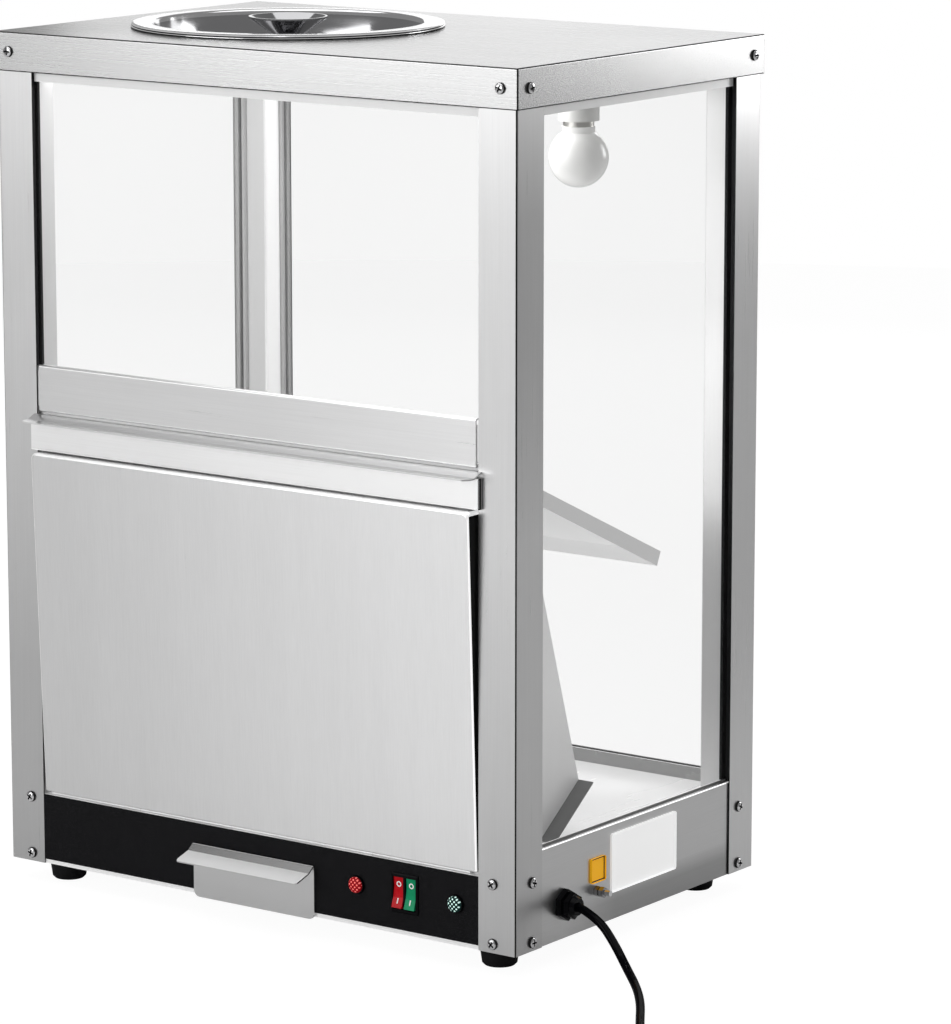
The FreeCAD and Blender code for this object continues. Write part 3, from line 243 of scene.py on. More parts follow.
cord_curve = bpy.data.curves.new("mains_cord", "CURVE")
cord_curve.dimensions = "3D"
cord_curve.bevel_depth = cord_diameter * mm / 2
cord_curve.bevel_resolution = 5
cord_curve.resolution_u = 6
cord_curve.use_fill_caps = True
spline = cord_curve.splines.new("NURBS")
cord_points = cord_line()
spline.points.add(len(cord_points) - 1)
for point, place in zip(spline.points, cord_points):
    point.co = (*place, 1.0)
spline.order_u = 3
spline.use_endpoint_u = True
cord = bpy.data.objects.new("mains_cord", cord_curve)
scene.collection.objects.link(cord)

sheath = Finish("cord_sheath", (0.002, 0.002, 0.003), 0.16, Specular_IOR_Level=0.0,
                Coat_Weight=0.12, Coat_Roughness=0.03)
mottle = sheath.noise(sheath.place(), 160.0, 3.0)
sheath.set("Roughness", mottle * 0.10 + 0.10)
sheath.bump(sheath.noise(sheath.place(), 900.0, 2.0), 0.05, 0.0002)
cord_curve.materials.append(sheath.material)
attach(cord, "cabinet")
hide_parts("cord_run", "cord_coil")
cabinet_point(*gland_end)


# Plug. A black plastic body with a matte grain, moulded onto the cord's end, with two flat brass
# blades and a round brass earth pin.
plug_skin = Finish("plug_body", (0.016, 0.016, 0.017), 0.42)
plug_skin.bump(plug_skin.noise(plug_skin.place(), 1400.0, 2.0), 0.25, 0.0003)
finish_nodes(plug_skin, "plug")
brass = Finish("plug_brass", (0.79, 0.60, 0.28), 0.24, 1.0)
brass.set("Roughness", brass.noise(brass.place(), 400.0) * 0.2 + 0.14)
finish_nodes(brass, "plug_pins")


# Stainless skins: posts, cap, rails and bin. Brushed sheet with its grain along each piece,
# faint mill bands across it and slightly uneven gloss.
def brushed(name, colour, roughness, grain, metallic=1.0):
    """Brushed steel; grain gives the texture's scale on each axis, small along the brushing."""
    steel = Finish(name, colour, roughness, metallic)
    fine = steel.noise(steel.stretched(tuple(g * fine_grain for g in grain)), 1.0, 3.0)
    wide = steel.noise(steel.stretched(tuple(g * wide_grain for g in grain)), 1.0, 2.0)
    cloud = steel.noise(steel.place(), cloud_grain, 2.0)
    light = tuple(min(1.0, c * (1 + mill_band)) for c in colour)
    dark = tuple(c * (1 - mill_band) for c in colour)
    streaks = (fine * 1.1 + wide * 0.5 + cloud * 0.3 - 0.45).clipped()
    steel.tone = steel.mix(streaks, dark, light)
    steel.set("Base Color", steel.tone)
    steel.set("Roughness", fine * 0.10 + cloud * 0.06 + (roughness - 0.08))
    steel.bump(fine, 0.35, grain_depth * mm)
    return steel


def bent(steel):
    """Mask of the bends: the surface there faces none of the three axes."""
    across, deep, up = steel.facing()
    return across.math("MAXIMUM", deep).math("MAXIMUM", up) < bend_flatness


fine_grain, wide_grain, cloud_grain = 900.0, 60.0, 4.0
grain_depth = 0.05
mill_band = 0.045
upright_grain = (1.0, 1.0, 0.012)
cross_grain = (0.012, 1.0, 1.0)
deep_grain = (1.0, 0.012, 1.0)
bend_flatness = 0.92
black, white = (0.0, 0.0, 0.0), (1.0, 1.0, 1.0)
shadow = (0.03, 0.03, 0.03)
edge_shadow = (0.01, 0.01, 0.01)

# Posts: painted shade along their corner bends and on the narrow returns beside the glass and the
# bin, and painted shade that deepens from the waist towards the ends on some of their front and
# side faces.
post_steel = brushed("post_steel", (0.74, 0.74, 0.742), 0.30, upright_grain)
post_axes = post_steel.axes()
post_x, post_y = [(axis - middle).math("ABSOLUTE") for axis, middle in
                  zip(post_axes, (middle_x, middle_y))]
post_across, post_deep = post_steel.facing()[:2]
waist, waist_reach = 370.0 * mm, 260.0 * mm
fade_top, fade_foot = 500.0 * mm, 200.0 * mm
return_x, return_y = 250.0 * mm, 165.0 * mm
shade_from_waist = (post_axes[2] - waist).math("ABSOLUTE").rising(0.0, waist_reach)
shade_below_waist = post_axes[2].rising(fade_top, fade_foot)
on_right, on_left = post_axes[0] > 0.0, post_axes[0] < 0.0
in_front, behind = post_axes[1] < 0.0, post_axes[1] > 0.0
# Painted shade: some front and side faces grow darker from the waist towards the ends.
post_steel.dimmed(on_right * in_front * post_deep * shade_from_waist, 0.84)
post_steel.dimmed(on_right * in_front * post_across * shade_from_waist, 0.73)
post_steel.dimmed(on_right * behind * post_across * shade_below_waist, 0.87)
post_steel.dimmed(on_left * in_front * post_deep * shade_below_waist, 0.73)
# Painted shade: dark along the bends and the returns that face across, grey on the returns that
# face the side openings, black on the right.
post_steel.tinted(bent(post_steel), shadow)
post_steel.tinted((post_across > bend_flatness) * (post_x < return_x), shadow)
shaded_return = (post_deep > bend_flatness) * (post_y < return_y)
post_steel.tinted(shaded_return, (0.32, 0.32, 0.32))
post_steel.tinted(shaded_return * on_right, shadow)
finish_nodes(post_steel, "post_front_left", "post_front_right", "post_rear_left",
             "post_rear_right")

# Cap: a shallow folded cover, screwed to the posts at its corners. Painted shade makes its front
# and sides darker than its top, darker towards the rear of the sides and towards the left of the
# top, and a painted shadow makes dark lines along its bends and at the foot of its skirt.
cap_steel = brushed("cap_steel", (0.74, 0.74, 0.742), 0.27, cross_grain, metallic=0.9)
cap_across, cap_deep, cap_up = cap_steel.facing()
cap_x, cap_y, cap_z = cap_steel.axes()
skirt_foot = 723.9 * mm
side_shade_fade, top_shade_fade = (-100.0 * mm, 100.0 * mm), (-100.0 * mm, -220.0 * mm)
# Painted shade on the front and sides, deeper towards the rear of the sides and the left of the
# top.
cap_steel.dimmed(cap_deep > bend_flatness, 0.76)
cap_steel.dimmed(cap_across > bend_flatness, 0.69)
cap_steel.dimmed((cap_across > bend_flatness) * cap_y.rising(*side_shade_fade), 0.89)
cap_steel.dimmed((cap_up > bend_flatness) * cap_x.rising(*top_shade_fade), 0.75)
# Painted shadow on the bends and at the foot of the skirt.
cap_steel.tinted(bent(cap_steel), shadow)
cap_steel.tinted(cap_z < skirt_foot, shadow)
finish_nodes(cap_steel, "top_cap")

# Bin: a bright folded skin on a long pin hinge at its foot. A painted highlight glows along its
# rolled edges, its sides are painted in shade, and painted shade deepens towards its left. The
# strip above it is a channel that overlaps both posts, with its top under the pull lip. Its ends
# and its top are painted in shade, and its front has a painted glow that grows towards the right,
# with painted highlights along its bends.
skin_steel = brushed("bin_skin_steel", (0.95, 0.95, 0.952), 0.31, upright_grain)
skin_half = 200.0 * mm
# Painted shade, darker towards the left.
skin_steel.dimmed(skin_steel.axes()[0].rising(skin_half, -skin_half), 0.79)
# Painted highlight: the bends glow white. The side faces are painted in shade.
skin_edge_highlight = bent(skin_steel)
skin_steel.set("Emission Color", skin_steel.mix(skin_edge_highlight, black, white))
skin_steel.set("Emission Strength", 0.55)
skin_steel.tinted(skin_steel.facing()[0] > bend_flatness, edge_shadow)
finish_nodes(skin_steel, "bin_skin")
top_flatness = 0.9
strip_fade = (-100.0 * mm, 250.0 * mm)
strip_steel = brushed("strip_steel", (0.95, 0.95, 0.95), 0.36, cross_grain, metallic=0.7)
strip_across, strip_deep, strip_up = strip_steel.facing()
# Painted shade on the strip's ends and on its top under the lip.
strip_steel.tinted(strip_across > bend_flatness, edge_shadow)
strip_top_shade = strip_up > top_flatness
strip_steel.tinted(strip_top_shade, (0.30, 0.30, 0.30))
strip_steel.set("Metallic", strip_top_shade * -0.5 + 0.7)
# Painted light: the front glows more towards the right, and the bends glow white as a painted
# highlight.
strip_painted_glow = strip_steel.axes()[0].rising(*strip_fade) * strip_deep * 0.26
strip_steel.set("Emission Color", strip_steel.mix(bent(strip_steel), strip_painted_glow, white))
strip_steel.set("Emission Strength", 0.45)
finish_nodes(strip_steel, "bin_strip")

# Inner wall of the bin, which is folded out over the strip into the pull lip, and the rear rail.
front_steel = brushed("front_steel", (0.74, 0.74, 0.742), 0.30, cross_grain)
finish_nodes(front_steel, "bin_front_wall", "rear_rail")

# Cross rail: the folded channel on two side tabs that the front pane stands in, with painted
# shade that deepens towards its left. The front rail shows only as a light sill under the control
# panel, which glows faintly as painted light.
cross_steel = brushed("cross_steel", (0.84, 0.84, 0.842), 0.30, cross_grain)
cross_shade_fade = (220.0 * mm, 20.0 * mm)
# Painted shade, darker towards the left.
cross_steel.dimmed(cross_steel.axes()[0].rising(*cross_shade_fade), 0.88)
finish_nodes(cross_steel, "cross_rail")
sill_steel = brushed("sill_steel", (0.95, 0.95, 0.95), 0.34, cross_grain, metallic=0.3)
# Painted light: the sill glows faintly.
sill_steel.set("Emission Color", white).set("Emission Strength", 0.14)
finish_nodes(sill_steel, "front_rail")

# Rails along the sides: upright sheets, hemmed at the top towards the glass and screwed to the
# posts. A painted highlight glows along the top fold, a painted shadow darkens the lower bends,
# and painted shade darkens the foot, fading out towards the front.
rail_steel = brushed("rail_steel", (0.58, 0.58, 0.582), 0.30, deep_grain)
rail_y, rail_z = rail_steel.axes()[1:]
foot_shade_fade, rear_shade_fade = (50.0 * mm, 35.0 * mm), (-100.0 * mm, -20.0 * mm)
fold_height = 90.0 * mm
# Painted shade on the foot below about 50 mm, fading out towards the front.
rail_steel.dimmed(rail_z.rising(*foot_shade_fade) * rail_y.rising(*rear_shade_fade), 0.64)
rail_bend, rail_top = bent(rail_steel), rail_z > fold_height
# Painted shadow on the lower bends, and a painted highlight glowing along the top fold.
rail_steel.tinted(rail_bend * (1.0 - rail_top), shadow)
rail_steel.set("Emission Color", rail_bend * rail_top).set("Emission Strength", 0.5)
finish_nodes(rail_steel, "side_rail_left", "side_rail_right")

# Lighter sheet inside: the hinge leaves, straps and tray, the angles behind the posts, the bin's
# cheeks and floor, the baffle and the channels that hold the panes. The angles, cheeks, floor and
# baffle carry painted light and shade.
inner_steel = brushed("inner_steel", (0.86, 0.86, 0.86), 0.36, upright_grain, metallic=0.4)
finish_nodes(inner_steel, "hinge_fixed_leaf", "hinge_moving_leaf", "heater_straps", "crumb_tray")
seat_steel = brushed("seat_steel", (0.86, 0.86, 0.86), 0.36, upright_grain, metallic=0.4)
seat_across, seat_deep = seat_steel.facing()[:2]
seat_x, seat_y = seat_steel.axes()[:2]
seat_near, seat_far = (seat_x < 0.0) * (seat_y < 0.0), (seat_x < 0.0) * (seat_y > 0.0)
# Painted shade on the front left angle's side faces and on the rear left angle's front and back
# faces, and a painted glow on the rear left angle's side faces.
seat_steel.dimmed(seat_near * (seat_across > bend_flatness), 0.79)
seat_steel.dimmed(seat_far * (seat_deep > bend_flatness), 0.77)
seat_steel.set("Emission Color", seat_far * (seat_across > bend_flatness))
seat_steel.set("Emission Strength", 0.26)
finish_nodes(seat_steel, "seat_angles_front", "seat_angles_rear")
cheek_steel = brushed("cheek_steel", (0.95, 0.95, 0.95), 0.36, upright_grain, metallic=0.2)
cheek_shade_fade = (220.0 * mm, 100.0 * mm)
# Painted shade towards the bottom, and a faint painted glow all over.
cheek_steel.dimmed(cheek_steel.axes()[2].rising(*cheek_shade_fade), 0.72)
cheek_steel.set("Emission Color", white).set("Emission Strength", 0.11)
finish_nodes(cheek_steel, "bin_cheek_left", "bin_cheek_right")
channel_steel = brushed("channel_steel", (0.92, 0.92, 0.92), 0.34, cross_grain, metallic=0.2)
finish_nodes(channel_steel, "glass_channels")
slope_steel = brushed("slope_steel", (0.97, 0.97, 0.97), 0.34, cross_grain, metallic=0.1)
# Painted light: the baffle glows, and painted shade darkens its end faces.
slope_steel.set("Emission Color", white).set("Emission Strength", 0.22)
slope_steel.tinted(slope_steel.facing()[0] > bend_flatness, (0.52, 0.52, 0.52))
finish_nodes(slope_steel, "baffle")
chute_steel = brushed("chute_steel", (0.90, 0.90, 0.90), 0.34, cross_grain, metallic=0.2)
# Painted shade on the floor's end faces and along its bends.
chute_steel.tinted(chute_steel.facing()[0] > bend_flatness, (0.20, 0.20, 0.20))
chute_steel.tinted(bent(chute_steel), (0.24, 0.24, 0.24))
finish_nodes(chute_steel, "bin_floor")

# Front plate of the crumb tray, folded out at its top into a pull lip. Painted shade darkens the
# lip's steep first turn, and painted light brightens its nearly level part.
turn_lean = 0.5
tray_steel = brushed("tray_plate_steel", (0.68, 0.68, 0.682), 0.24, cross_grain)
tray_up = tray_steel.facing()[2]
shaded_turn, lit_lip = tray_up > turn_lean, tray_up > top_flatness
# Painted shade on the lip's steep turn and painted light on its level part.
tray_steel.tinted(shaded_turn * (1.0 - lit_lip), (0.30, 0.30, 0.30))
tray_steel.tinted(lit_lip, (0.95, 0.95, 0.95))
tray_steel.set("Metallic", lit_lip * -0.9 + 1.0)
finish_nodes(tray_steel, "tray_front")


# Deck. A bright polished plate with a blurred shine and faint wiping marks. Painted light makes
# its level floor glow faintly, and painted shade makes its upstands darker than its floor.
deck_shine = Finish("deck_shine", (0.97, 0.97, 0.97), 0.24, 0.10)
deck_shine.set("Emission Strength", 0.22)
# Painted light: the level floor glows. Painted shade darkens the upstands.
level = deck_shine.facing()[2] > bend_flatness
deck_shine.set("Base Color", deck_shine.mix(level, (0.42, 0.42, 0.42), (0.97, 0.97, 0.97)))
deck_shine.set("Emission Color", level)
wipe = deck_shine.noise(deck_shine.stretched((30.0, 6.0, 30.0)), 1.0, 4.0)
deck_shine.set("Roughness", wipe * 0.16 + 0.18)
deck_shine.bump(deck_shine.noise(deck_shine.place(), 5.0, 1.0), 0.06, 0.004)
finish_nodes(deck_shine, "deck_plate")


# Lid and knob. Polished spun steel: the rim is a rolled double ring, the wall runs down to a dish
# with one shallow step, and fine lathe lines go round its middle. The rim's rings glow as a
# painted highlight, with a painted shadow in the groove between them and at their foot, and
# painted shade makes the wall and dish darker than the rim.
lid_x, lid_y = cabinet_point(-98.256, 0.0, 0.0)[:2]
lid_rest = 757.3
lid_sheet = 1.0
lid_turns = 144
lid_smooth_angle = math.radians(40)
lid_profile = [
    (136.6, 0.0), (137.3, 0.5), (137.3, 1.5), (136.3, 2.1), (137.0, 2.7), (136.6, 3.7),
    (135.2, 4.2), (120.4, 4.2), (119.0, 3.6), (118.3, 2.4), (115.9, -18.6), (115.2, -20.9),
    (113.4, -22.0), (79.0, -22.0), (77.4, -21.4), (4.0, -21.4),
]
lid_curve = bpy.data.curves.new("lid_profile", "CURVE")
lid_curve.dimensions = "3D"
lid_line = lid_curve.splines.new("POLY")
lid_line.points.add(len(lid_profile) - 1)
for point, (radius, height) in zip(lid_line.points, lid_profile):
    point.co = (radius * mm, 0.0, (lid_rest + height) * mm, 1.0)
lid_pan = bpy.data.objects.new("lid_dish", lid_curve)
scene.collection.objects.link(lid_pan)
bpy.ops.object.select_all(action="DESELECT")
lid_pan.select_set(True)
bpy.context.view_layer.objects.active = lid_pan
bpy.ops.object.convert(target="MESH")
lid_pan = bpy.context.object
spin = lid_pan.modifiers.new("turn", "SCREW")
spin.axis = "Z"
spin.steps = spin.render_steps = lid_turns
spin.use_merge_vertices = True
spin.use_normal_calculate = True
bpy.ops.object.modifier_apply(modifier="turn")
bpy.ops.object.mode_set(mode="EDIT")
bpy.ops.mesh.select_all(action="SELECT")
bpy.ops.mesh.normals_make_consistent(inside=False)
bpy.ops.object.mode_set(mode="OBJECT")
thicken = lid_pan.modifiers.new("sheet", "SOLIDIFY")
thicken.thickness = lid_sheet * mm
thicken.offset = -1.0
bpy.ops.object.modifier_apply(modifier="sheet")
lid_pan.data.transform(Matrix.Translation((lid_x, lid_y, 0.0)))
bpy.ops.object.shade_smooth_by_angle(angle=lid_smooth_angle)

spun = Finish("lid_spun_steel", (0.80, 0.80, 0.81), 0.08, 1.0)
lid_wall, lid_roll = 118.0 * mm, 136.1 * mm
groove_height, groove_half, rim_foot = 2.35 * mm, 0.5 * mm, 1.2 * mm
lathe_lines = 5200.0
spun_place = spun.make("ShaderNodeSeparateXYZ", {}, (spun.make(
    "ShaderNodeMapping", {}, {"Vector": spun.place(), "Location": (-lid_x, -lid_y, 0.0)}),))
spun_y, spun_z = [Wire(spun, out) for out in spun_place.socket.node.outputs[1:]]
radius_from_middle = (spun_place * spun_place + spun_y * spun_y).math("SQRT")
lathe = (radius_from_middle * lathe_lines).math("SINE")
# Painted shade: the wall and dish darker than the rim.
spun.tone = spun.mix(radius_from_middle < lid_wall, (0.86, 0.86, 0.87), (0.50, 0.50, 0.51))
on_rim = radius_from_middle > lid_roll
rim_height = spun_z - lid_rest * mm
# Painted shadow in the rim's groove and at its foot, and a painted highlight glowing on the rest
# of the rim.
groove = (rim_height - groove_height).math("ABSOLUTE") < groove_half
rim_shadow = (groove + (rim_height < rim_foot)).clipped()
spun.tinted(on_rim * rim_shadow, edge_shadow)
spun.set("Emission Color", on_rim * (1.0 - rim_shadow)).set("Emission Strength", 0.25)
spun.set("Roughness", lathe * 0.02 + spun.noise(spun.place(), 40.0) * 0.05 + 0.10)
spun.bump(lathe, 0.06, 0.0001)
lid_pan.data.materials.clear()
lid_pan.data.materials.append(spun.material)
knob_steel = Finish("knob_steel", (0.46, 0.46, 0.47), 0.08, 1.0)
knob_steel.set("Roughness", knob_steel.noise(knob_steel.place(), 60.0) * 0.06 + 0.06)
finish_nodes(knob_steel, "lid_knob")
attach(lid_pan, "lid")
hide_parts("lid_pan")


# Base pan and tray runners. The shallow pan that closes the base and the two angles on it that
# the tray slides on, all of dull zinc plated sheet with a soft spangle.
zinc = Finish("zinc_plate", (0.52, 0.53, 0.54), 0.45, 1.0)
spangle = zinc.make("ShaderNodeTexVoronoi", {}, {"Vector": zinc.place(), "Scale": 90.0},
                    output="Distance")
zinc.set("Roughness", spangle * 0.25 + 0.38)
finish_nodes(zinc, "base_pan", "tray_runners")


# Glass. Four clear float panes with a faint grey tint, a little denser where they are seen
# aslant. Rubber seals hold them at the posts, and channels under the cap close over their tops.
pane_glass = Finish("pane_glass", (0.32, 0.325, 0.32), 0.04, Specular_IOR_Level=0.3)
slant = pane_glass.make("ShaderNodeLayerWeight", {}, {"Blend": 0.2}, output="Facing")
pane_glass.set("Alpha", (slant * 0.02 + 0.032).clipped())
finish_nodes(pane_glass, "front_glass", "left_glass", "right_glass", "rear_glass")


# Seals round the panes' upright edges, and the feet: black rubber, matte, with a fine moulded
# texture. Painted light makes the seal in the far left corner light grey on its inward faces.
rubber = Finish("black_rubber", (0.009, 0.009, 0.010), 0.62, Specular_IOR_Level=0.12)
rubber.bump(rubber.noise(rubber.place(), 1200.0, 2.0), 0.3, 0.0003)
rubber_x, rubber_y = rubber.axes()[:2]
rubber_lean = rubber.leaning()
far_x, far_y, seal_lean = -200.0 * mm, 100.0 * mm, 0.5
# Painted light: the far left seal's inward faces are painted light grey.
inward = ((rubber_lean[0] > seal_lean) + (rubber_lean[1] < -seal_lean)).clipped()
far_seal_painted_light = (rubber_x < far_x) * (rubber_y > far_y) * inward
rubber.set("Base Color", rubber.mix(far_seal_painted_light, (0.009, 0.009, 0.010), (0.43, 0.43, 0.43)))
finish_nodes(rubber, "glass_seals", "feet")


# Control panel. A black powder-coated plate on the front rail, with openings for the tray, the
# switch and the two lights. Its coat has a fine pale speckle.
panel_coat = Finish("panel_coat", (0.006, 0.006, 0.007), 0.5, Specular_IOR_Level=0.05)
grit = panel_coat.noise(panel_coat.place(), 1500.0, 2.0)
specks = panel_coat.noise(panel_coat.place(), 2100.0, 1.0) > 0.66
panel_coat.set("Base Color", panel_coat.mix(specks, (0.006, 0.006, 0.007), (0.08, 0.08, 0.085)))
panel_coat.bump(grit, 0.4, 0.0003)
finish_nodes(panel_coat, "control_panel")


# Gland, switch housing and indicator bodies: moulded black nylon with a satin skin. A lock nut
# holds the gland in the right rail, and the others sit in the control panel.
nylon = Finish("black_nylon", (0.002, 0.002, 0.003), 0.20, Specular_IOR_Level=0.09)
nylon.bump(nylon.noise(nylon.place(), 700.0, 2.0), 0.15, 0.0003)
finish_nodes(nylon, "cable_gland", "gland_nuts", "rocker_housing", "indicator_bodies")


# Bright plated steel: earth stud, hinge pin, knob screw and thermostat can. The stud's nuts are
# duller.
plated = Finish("plated_steel", (0.70, 0.70, 0.71), 0.22, 1.0)
plated.set("Roughness", plated.noise(plated.place(), 300.0) * 0.16 + 0.14)
finish_nodes(plated, "knob_screw", "earth_stud", "hinge_pin", "thermostat")
dark_plated = Finish("dark_plated_steel", (0.30, 0.30, 0.31), 0.16, 1.0)
dark_plated.set("Roughness", dark_plated.noise(dark_plated.place(), 300.0) * 0.12 + 0.10)
finish_nodes(dark_plated, "earth_stud_nuts")


# Case screws. Pan heads with a cross recess, two on each face of each corner of the base, one on
# each face at the cap's corners, and one up into each foot. Painted shade darkens the recess and
# the heads' sides.
screw_steel = Finish("screw_steel", (0.72, 0.72, 0.73), 0.12, 1.0)
screw_steel.set("Roughness", screw_steel.noise(screw_steel.place(), 500.0) * 0.10 + 0.06)
# A dark finish for painted shade in the cross recess and round the heads' sides.
recess_shade = Finish("screw_painted_shade", (0.02, 0.02, 0.02), 0.5, Specular_IOR_Level=0.1)
recess_shade.bump(recess_shade.noise(recess_shade.place(), 900.0), 0.2, 0.1 * mm)
head_radius, head_height, head_round = 4.8, 2.8, 2.2
shank_radius, shank_length = 2.4, 8.0
recess_half, recess_wide, recess_depth = 3.1, 1.6, 1.7
flank_lean, floor_play = 0.5, 0.1
screw_smooth_angle = math.radians(35)
screw_twist = 37.0
cap_face_x, cap_face_y = 278.5, 183.5
cap_screw_x, cap_screw_y, cap_screw_z = 261.5, 166.5, 740.0
post_face_x, post_face_y = 276.0, 181.0
post_screw_x, post_screw_y, post_screw_heights = 252.5, 157.5, (26.6, 78.0)
foot_x, foot_y, foot_screw_z = 237.0, 149.0, 13.0
bpy.ops.object.select_all(action="DESELECT")
bpy.ops.mesh.primitive_cylinder_add(vertices=28, radius=head_radius * mm,
                                    depth=head_height * mm,
                                    location=(0.0, 0.0, head_height * mm / 2))
screw = bpy.context.object
bpy.ops.object.transform_apply(location=True)
bpy.ops.object.mode_set(mode="EDIT")
bpy.ops.mesh.select_all(action="DESELECT")
bpy.ops.object.mode_set(mode="OBJECT")
for edge in screw.data.edges:
    edge.select = all(screw.data.vertices[v].co.z > head_height * mm * 0.9
                      for v in edge.vertices)
bpy.ops.object.mode_set(mode="EDIT")
bpy.ops.mesh.select_mode(type="EDGE")
bpy.ops.mesh.bevel(offset=head_round * mm, offset_type="OFFSET", segments=5, profile=0.5)
bpy.ops.object.mode_set(mode="OBJECT")
for long_x, long_y in ((recess_half, recess_wide / 2), (recess_wide / 2, recess_half)):
    bpy.ops.object.select_all(action="DESELECT")
    bpy.ops.mesh.primitive_cube_add(size=2.0, location=(0.0, 0.0, head_height * mm))
    cutter = bpy.context.object
    cutter.scale = (long_x * mm, long_y * mm, recess_depth * mm)
    bpy.ops.object.transform_apply(location=True, scale=True)
    bpy.ops.object.select_all(action="DESELECT")
    screw.select_set(True)
    bpy.context.view_layer.objects.active = screw
    cut = screw.modifiers.new("recess", "BOOLEAN")
    cut.operation = "DIFFERENCE"
    cut.object = cutter
    bpy.ops.object.modifier_apply(modifier="recess")
    bpy.data.objects.remove(cutter)
screw.data.materials.append(screw_steel.material)
screw.data.materials.append(recess_shade.material)
# Painted shade: the recess floor and every steep face of the head, sides and recess walls alike,
# take the dark second finish.
for face in screw.data.polygons:
    centre = face.center / mm
    in_cross = math.hypot(centre.x, centre.y) < recess_half
    bottom = abs(centre.z - (head_height - recess_depth)) < floor_play
    flank = face.normal.z < flank_lean
    face.material_index = 1 if flank or in_cross and bottom else 0
bpy.ops.object.select_all(action="DESELECT")
bpy.ops.mesh.primitive_cylinder_add(vertices=16, radius=shank_radius * mm,
                                    depth=shank_length * mm,
                                    location=(0.0, 0.0, -shank_length * mm / 2))
screw.select_set(True)
bpy.context.view_layer.objects.active = screw
bpy.ops.object.join()


def screw_places():
    """Each screw's place on its sheet, in the cabinet's millimetres, and its head's direction."""
    places = []
    for side in (-1, 1):
        for end in (-1, 1):
            places.append(((side * cap_screw_x, end * cap_face_y, cap_screw_z), (0, end, 0)))
            places.append(((side * cap_face_x, end * cap_screw_y, cap_screw_z), (side, 0, 0)))
            for height in post_screw_heights:
                places.append(((side * post_screw_x, end * post_face_y, height), (0, end, 0)))
                places.append(((side * post_face_x, end * post_screw_y, height), (side, 0, 0)))
            places.append(((side * foot_x, end * foot_y, foot_screw_z), (0, 0, -1)))
    return places


screws = []
for index, (place, out) in enumerate(screw_places()):
    twin = screw.copy()
    twin.data = screw.data.copy()
    scene.collection.objects.link(twin)
    turn = Vector(out).to_track_quat("Z", "Y").to_matrix().to_4x4()
    spun_by = Matrix.Rotation(math.radians(screw_twist * index), 4, "Z")
    twin.data.transform(Matrix.Translation(cabinet_point(*place)) @ turn @ spun_by)
    screws.append(twin)
bpy.data.objects.remove(screw)
bpy.ops.object.select_all(action="DESELECT")
for twin in screws:
    twin.select_set(True)
bpy.context.view_layer.objects.active = screws[0]
bpy.ops.object.join()
case_screws = bpy.context.object
case_screws.name = "cross_head_screws"
bpy.ops.object.shade_smooth_by_angle(angle=screw_smooth_angle)
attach(case_screws, "cabinet")
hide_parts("case_screws")


# Two labels on the right rail, both bare: a small yellow one with a black border and a larger
# white one, both glowing faintly as painted light. Each is a thin plate with rounded corners.
def label(name, y_low, y_high, z_low, z_high):
    """Thin plate on the rail's outer face, from a cube whose four edges across its thickness are
    rounded.
    """
    bpy.ops.object.select_all(action="DESELECT")
    bpy.ops.mesh.primitive_cube_add(size=1.0, location=(0.0, 0.0, 0.0))
    plate = bpy.context.object
    plate.name = name
    plate.scale = (label_proud * mm, (y_high - y_low) * mm, (z_high - z_low) * mm)
    bpy.ops.object.transform_apply(scale=True)
    for edge in plate.data.edges:
        a, b = [plate.data.vertices[v].co for v in edge.vertices]
        edge.select = abs(a.x - b.x) > label_proud * mm / 2
    bpy.ops.object.mode_set(mode="EDIT")
    bpy.ops.mesh.select_mode(type="EDGE")
    bpy.ops.mesh.bevel(offset=label_corner * mm, segments=6)
    bpy.ops.object.mode_set(mode="OBJECT")
    plate.data.transform(Matrix.Translation(cabinet_point(
        rail_face + label_proud / 2, (y_low + y_high) / 2, (z_low + z_high) / 2)))
    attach(plate, "cabinet")
    return plate


rail_face = 274.5
label_corner, label_proud = 2.0, 0.3
tag_middle = (-59.7, 67.9)
tag_half = 10.8
border_inner, border_outer = 9.1 * mm, 10.2 * mm
yellow_tag = label("yellow_tag", tag_middle[0] - tag_half, tag_middle[0] + tag_half,
                   tag_middle[1] - tag_half, tag_middle[1] + tag_half)
tag_yellow = (0.94, 0.47, 0.012)
tag_ink = Finish("tag_yellow", tag_yellow, 0.38, Specular_IOR_Level=0.2)
# Painted light: the tag glows faintly in its yellow, its border black.
tag_ink.set("Emission Strength", 0.30)
tag_y, tag_z = tag_ink.axes()[1:]
tag_centre = cabinet_point(0.0, *tag_middle)
from_middle = (tag_y - tag_centre[1]).math("ABSOLUTE").math(
    "MAXIMUM", (tag_z - tag_centre[2]).math("ABSOLUTE"))
tag_border = (from_middle > border_inner) * (from_middle < border_outer)
tag_ink.set("Base Color", tag_ink.mix(tag_border, tag_yellow, (0.015, 0.015, 0.015)))
tag_ink.set("Emission Color", tag_ink.mix(tag_border, tag_yellow, black))
yellow_tag.data.materials.append(tag_ink.material)

label_y, label_z = (-40.4, 58.4), (43.0, 94.5)
white_label = label("white_label", *label_y, *label_z)
label_film = Finish("label_film", (0.93, 0.93, 0.93), 0.30)
# Painted light: the label film glows white.
label_film.set("Emission Color", white).set("Emission Strength", 0.36)
label_film.bump(label_film.noise(label_film.place(), 90.0), 0.05, 0.0005)
white_label.data.materials.append(label_film.material)


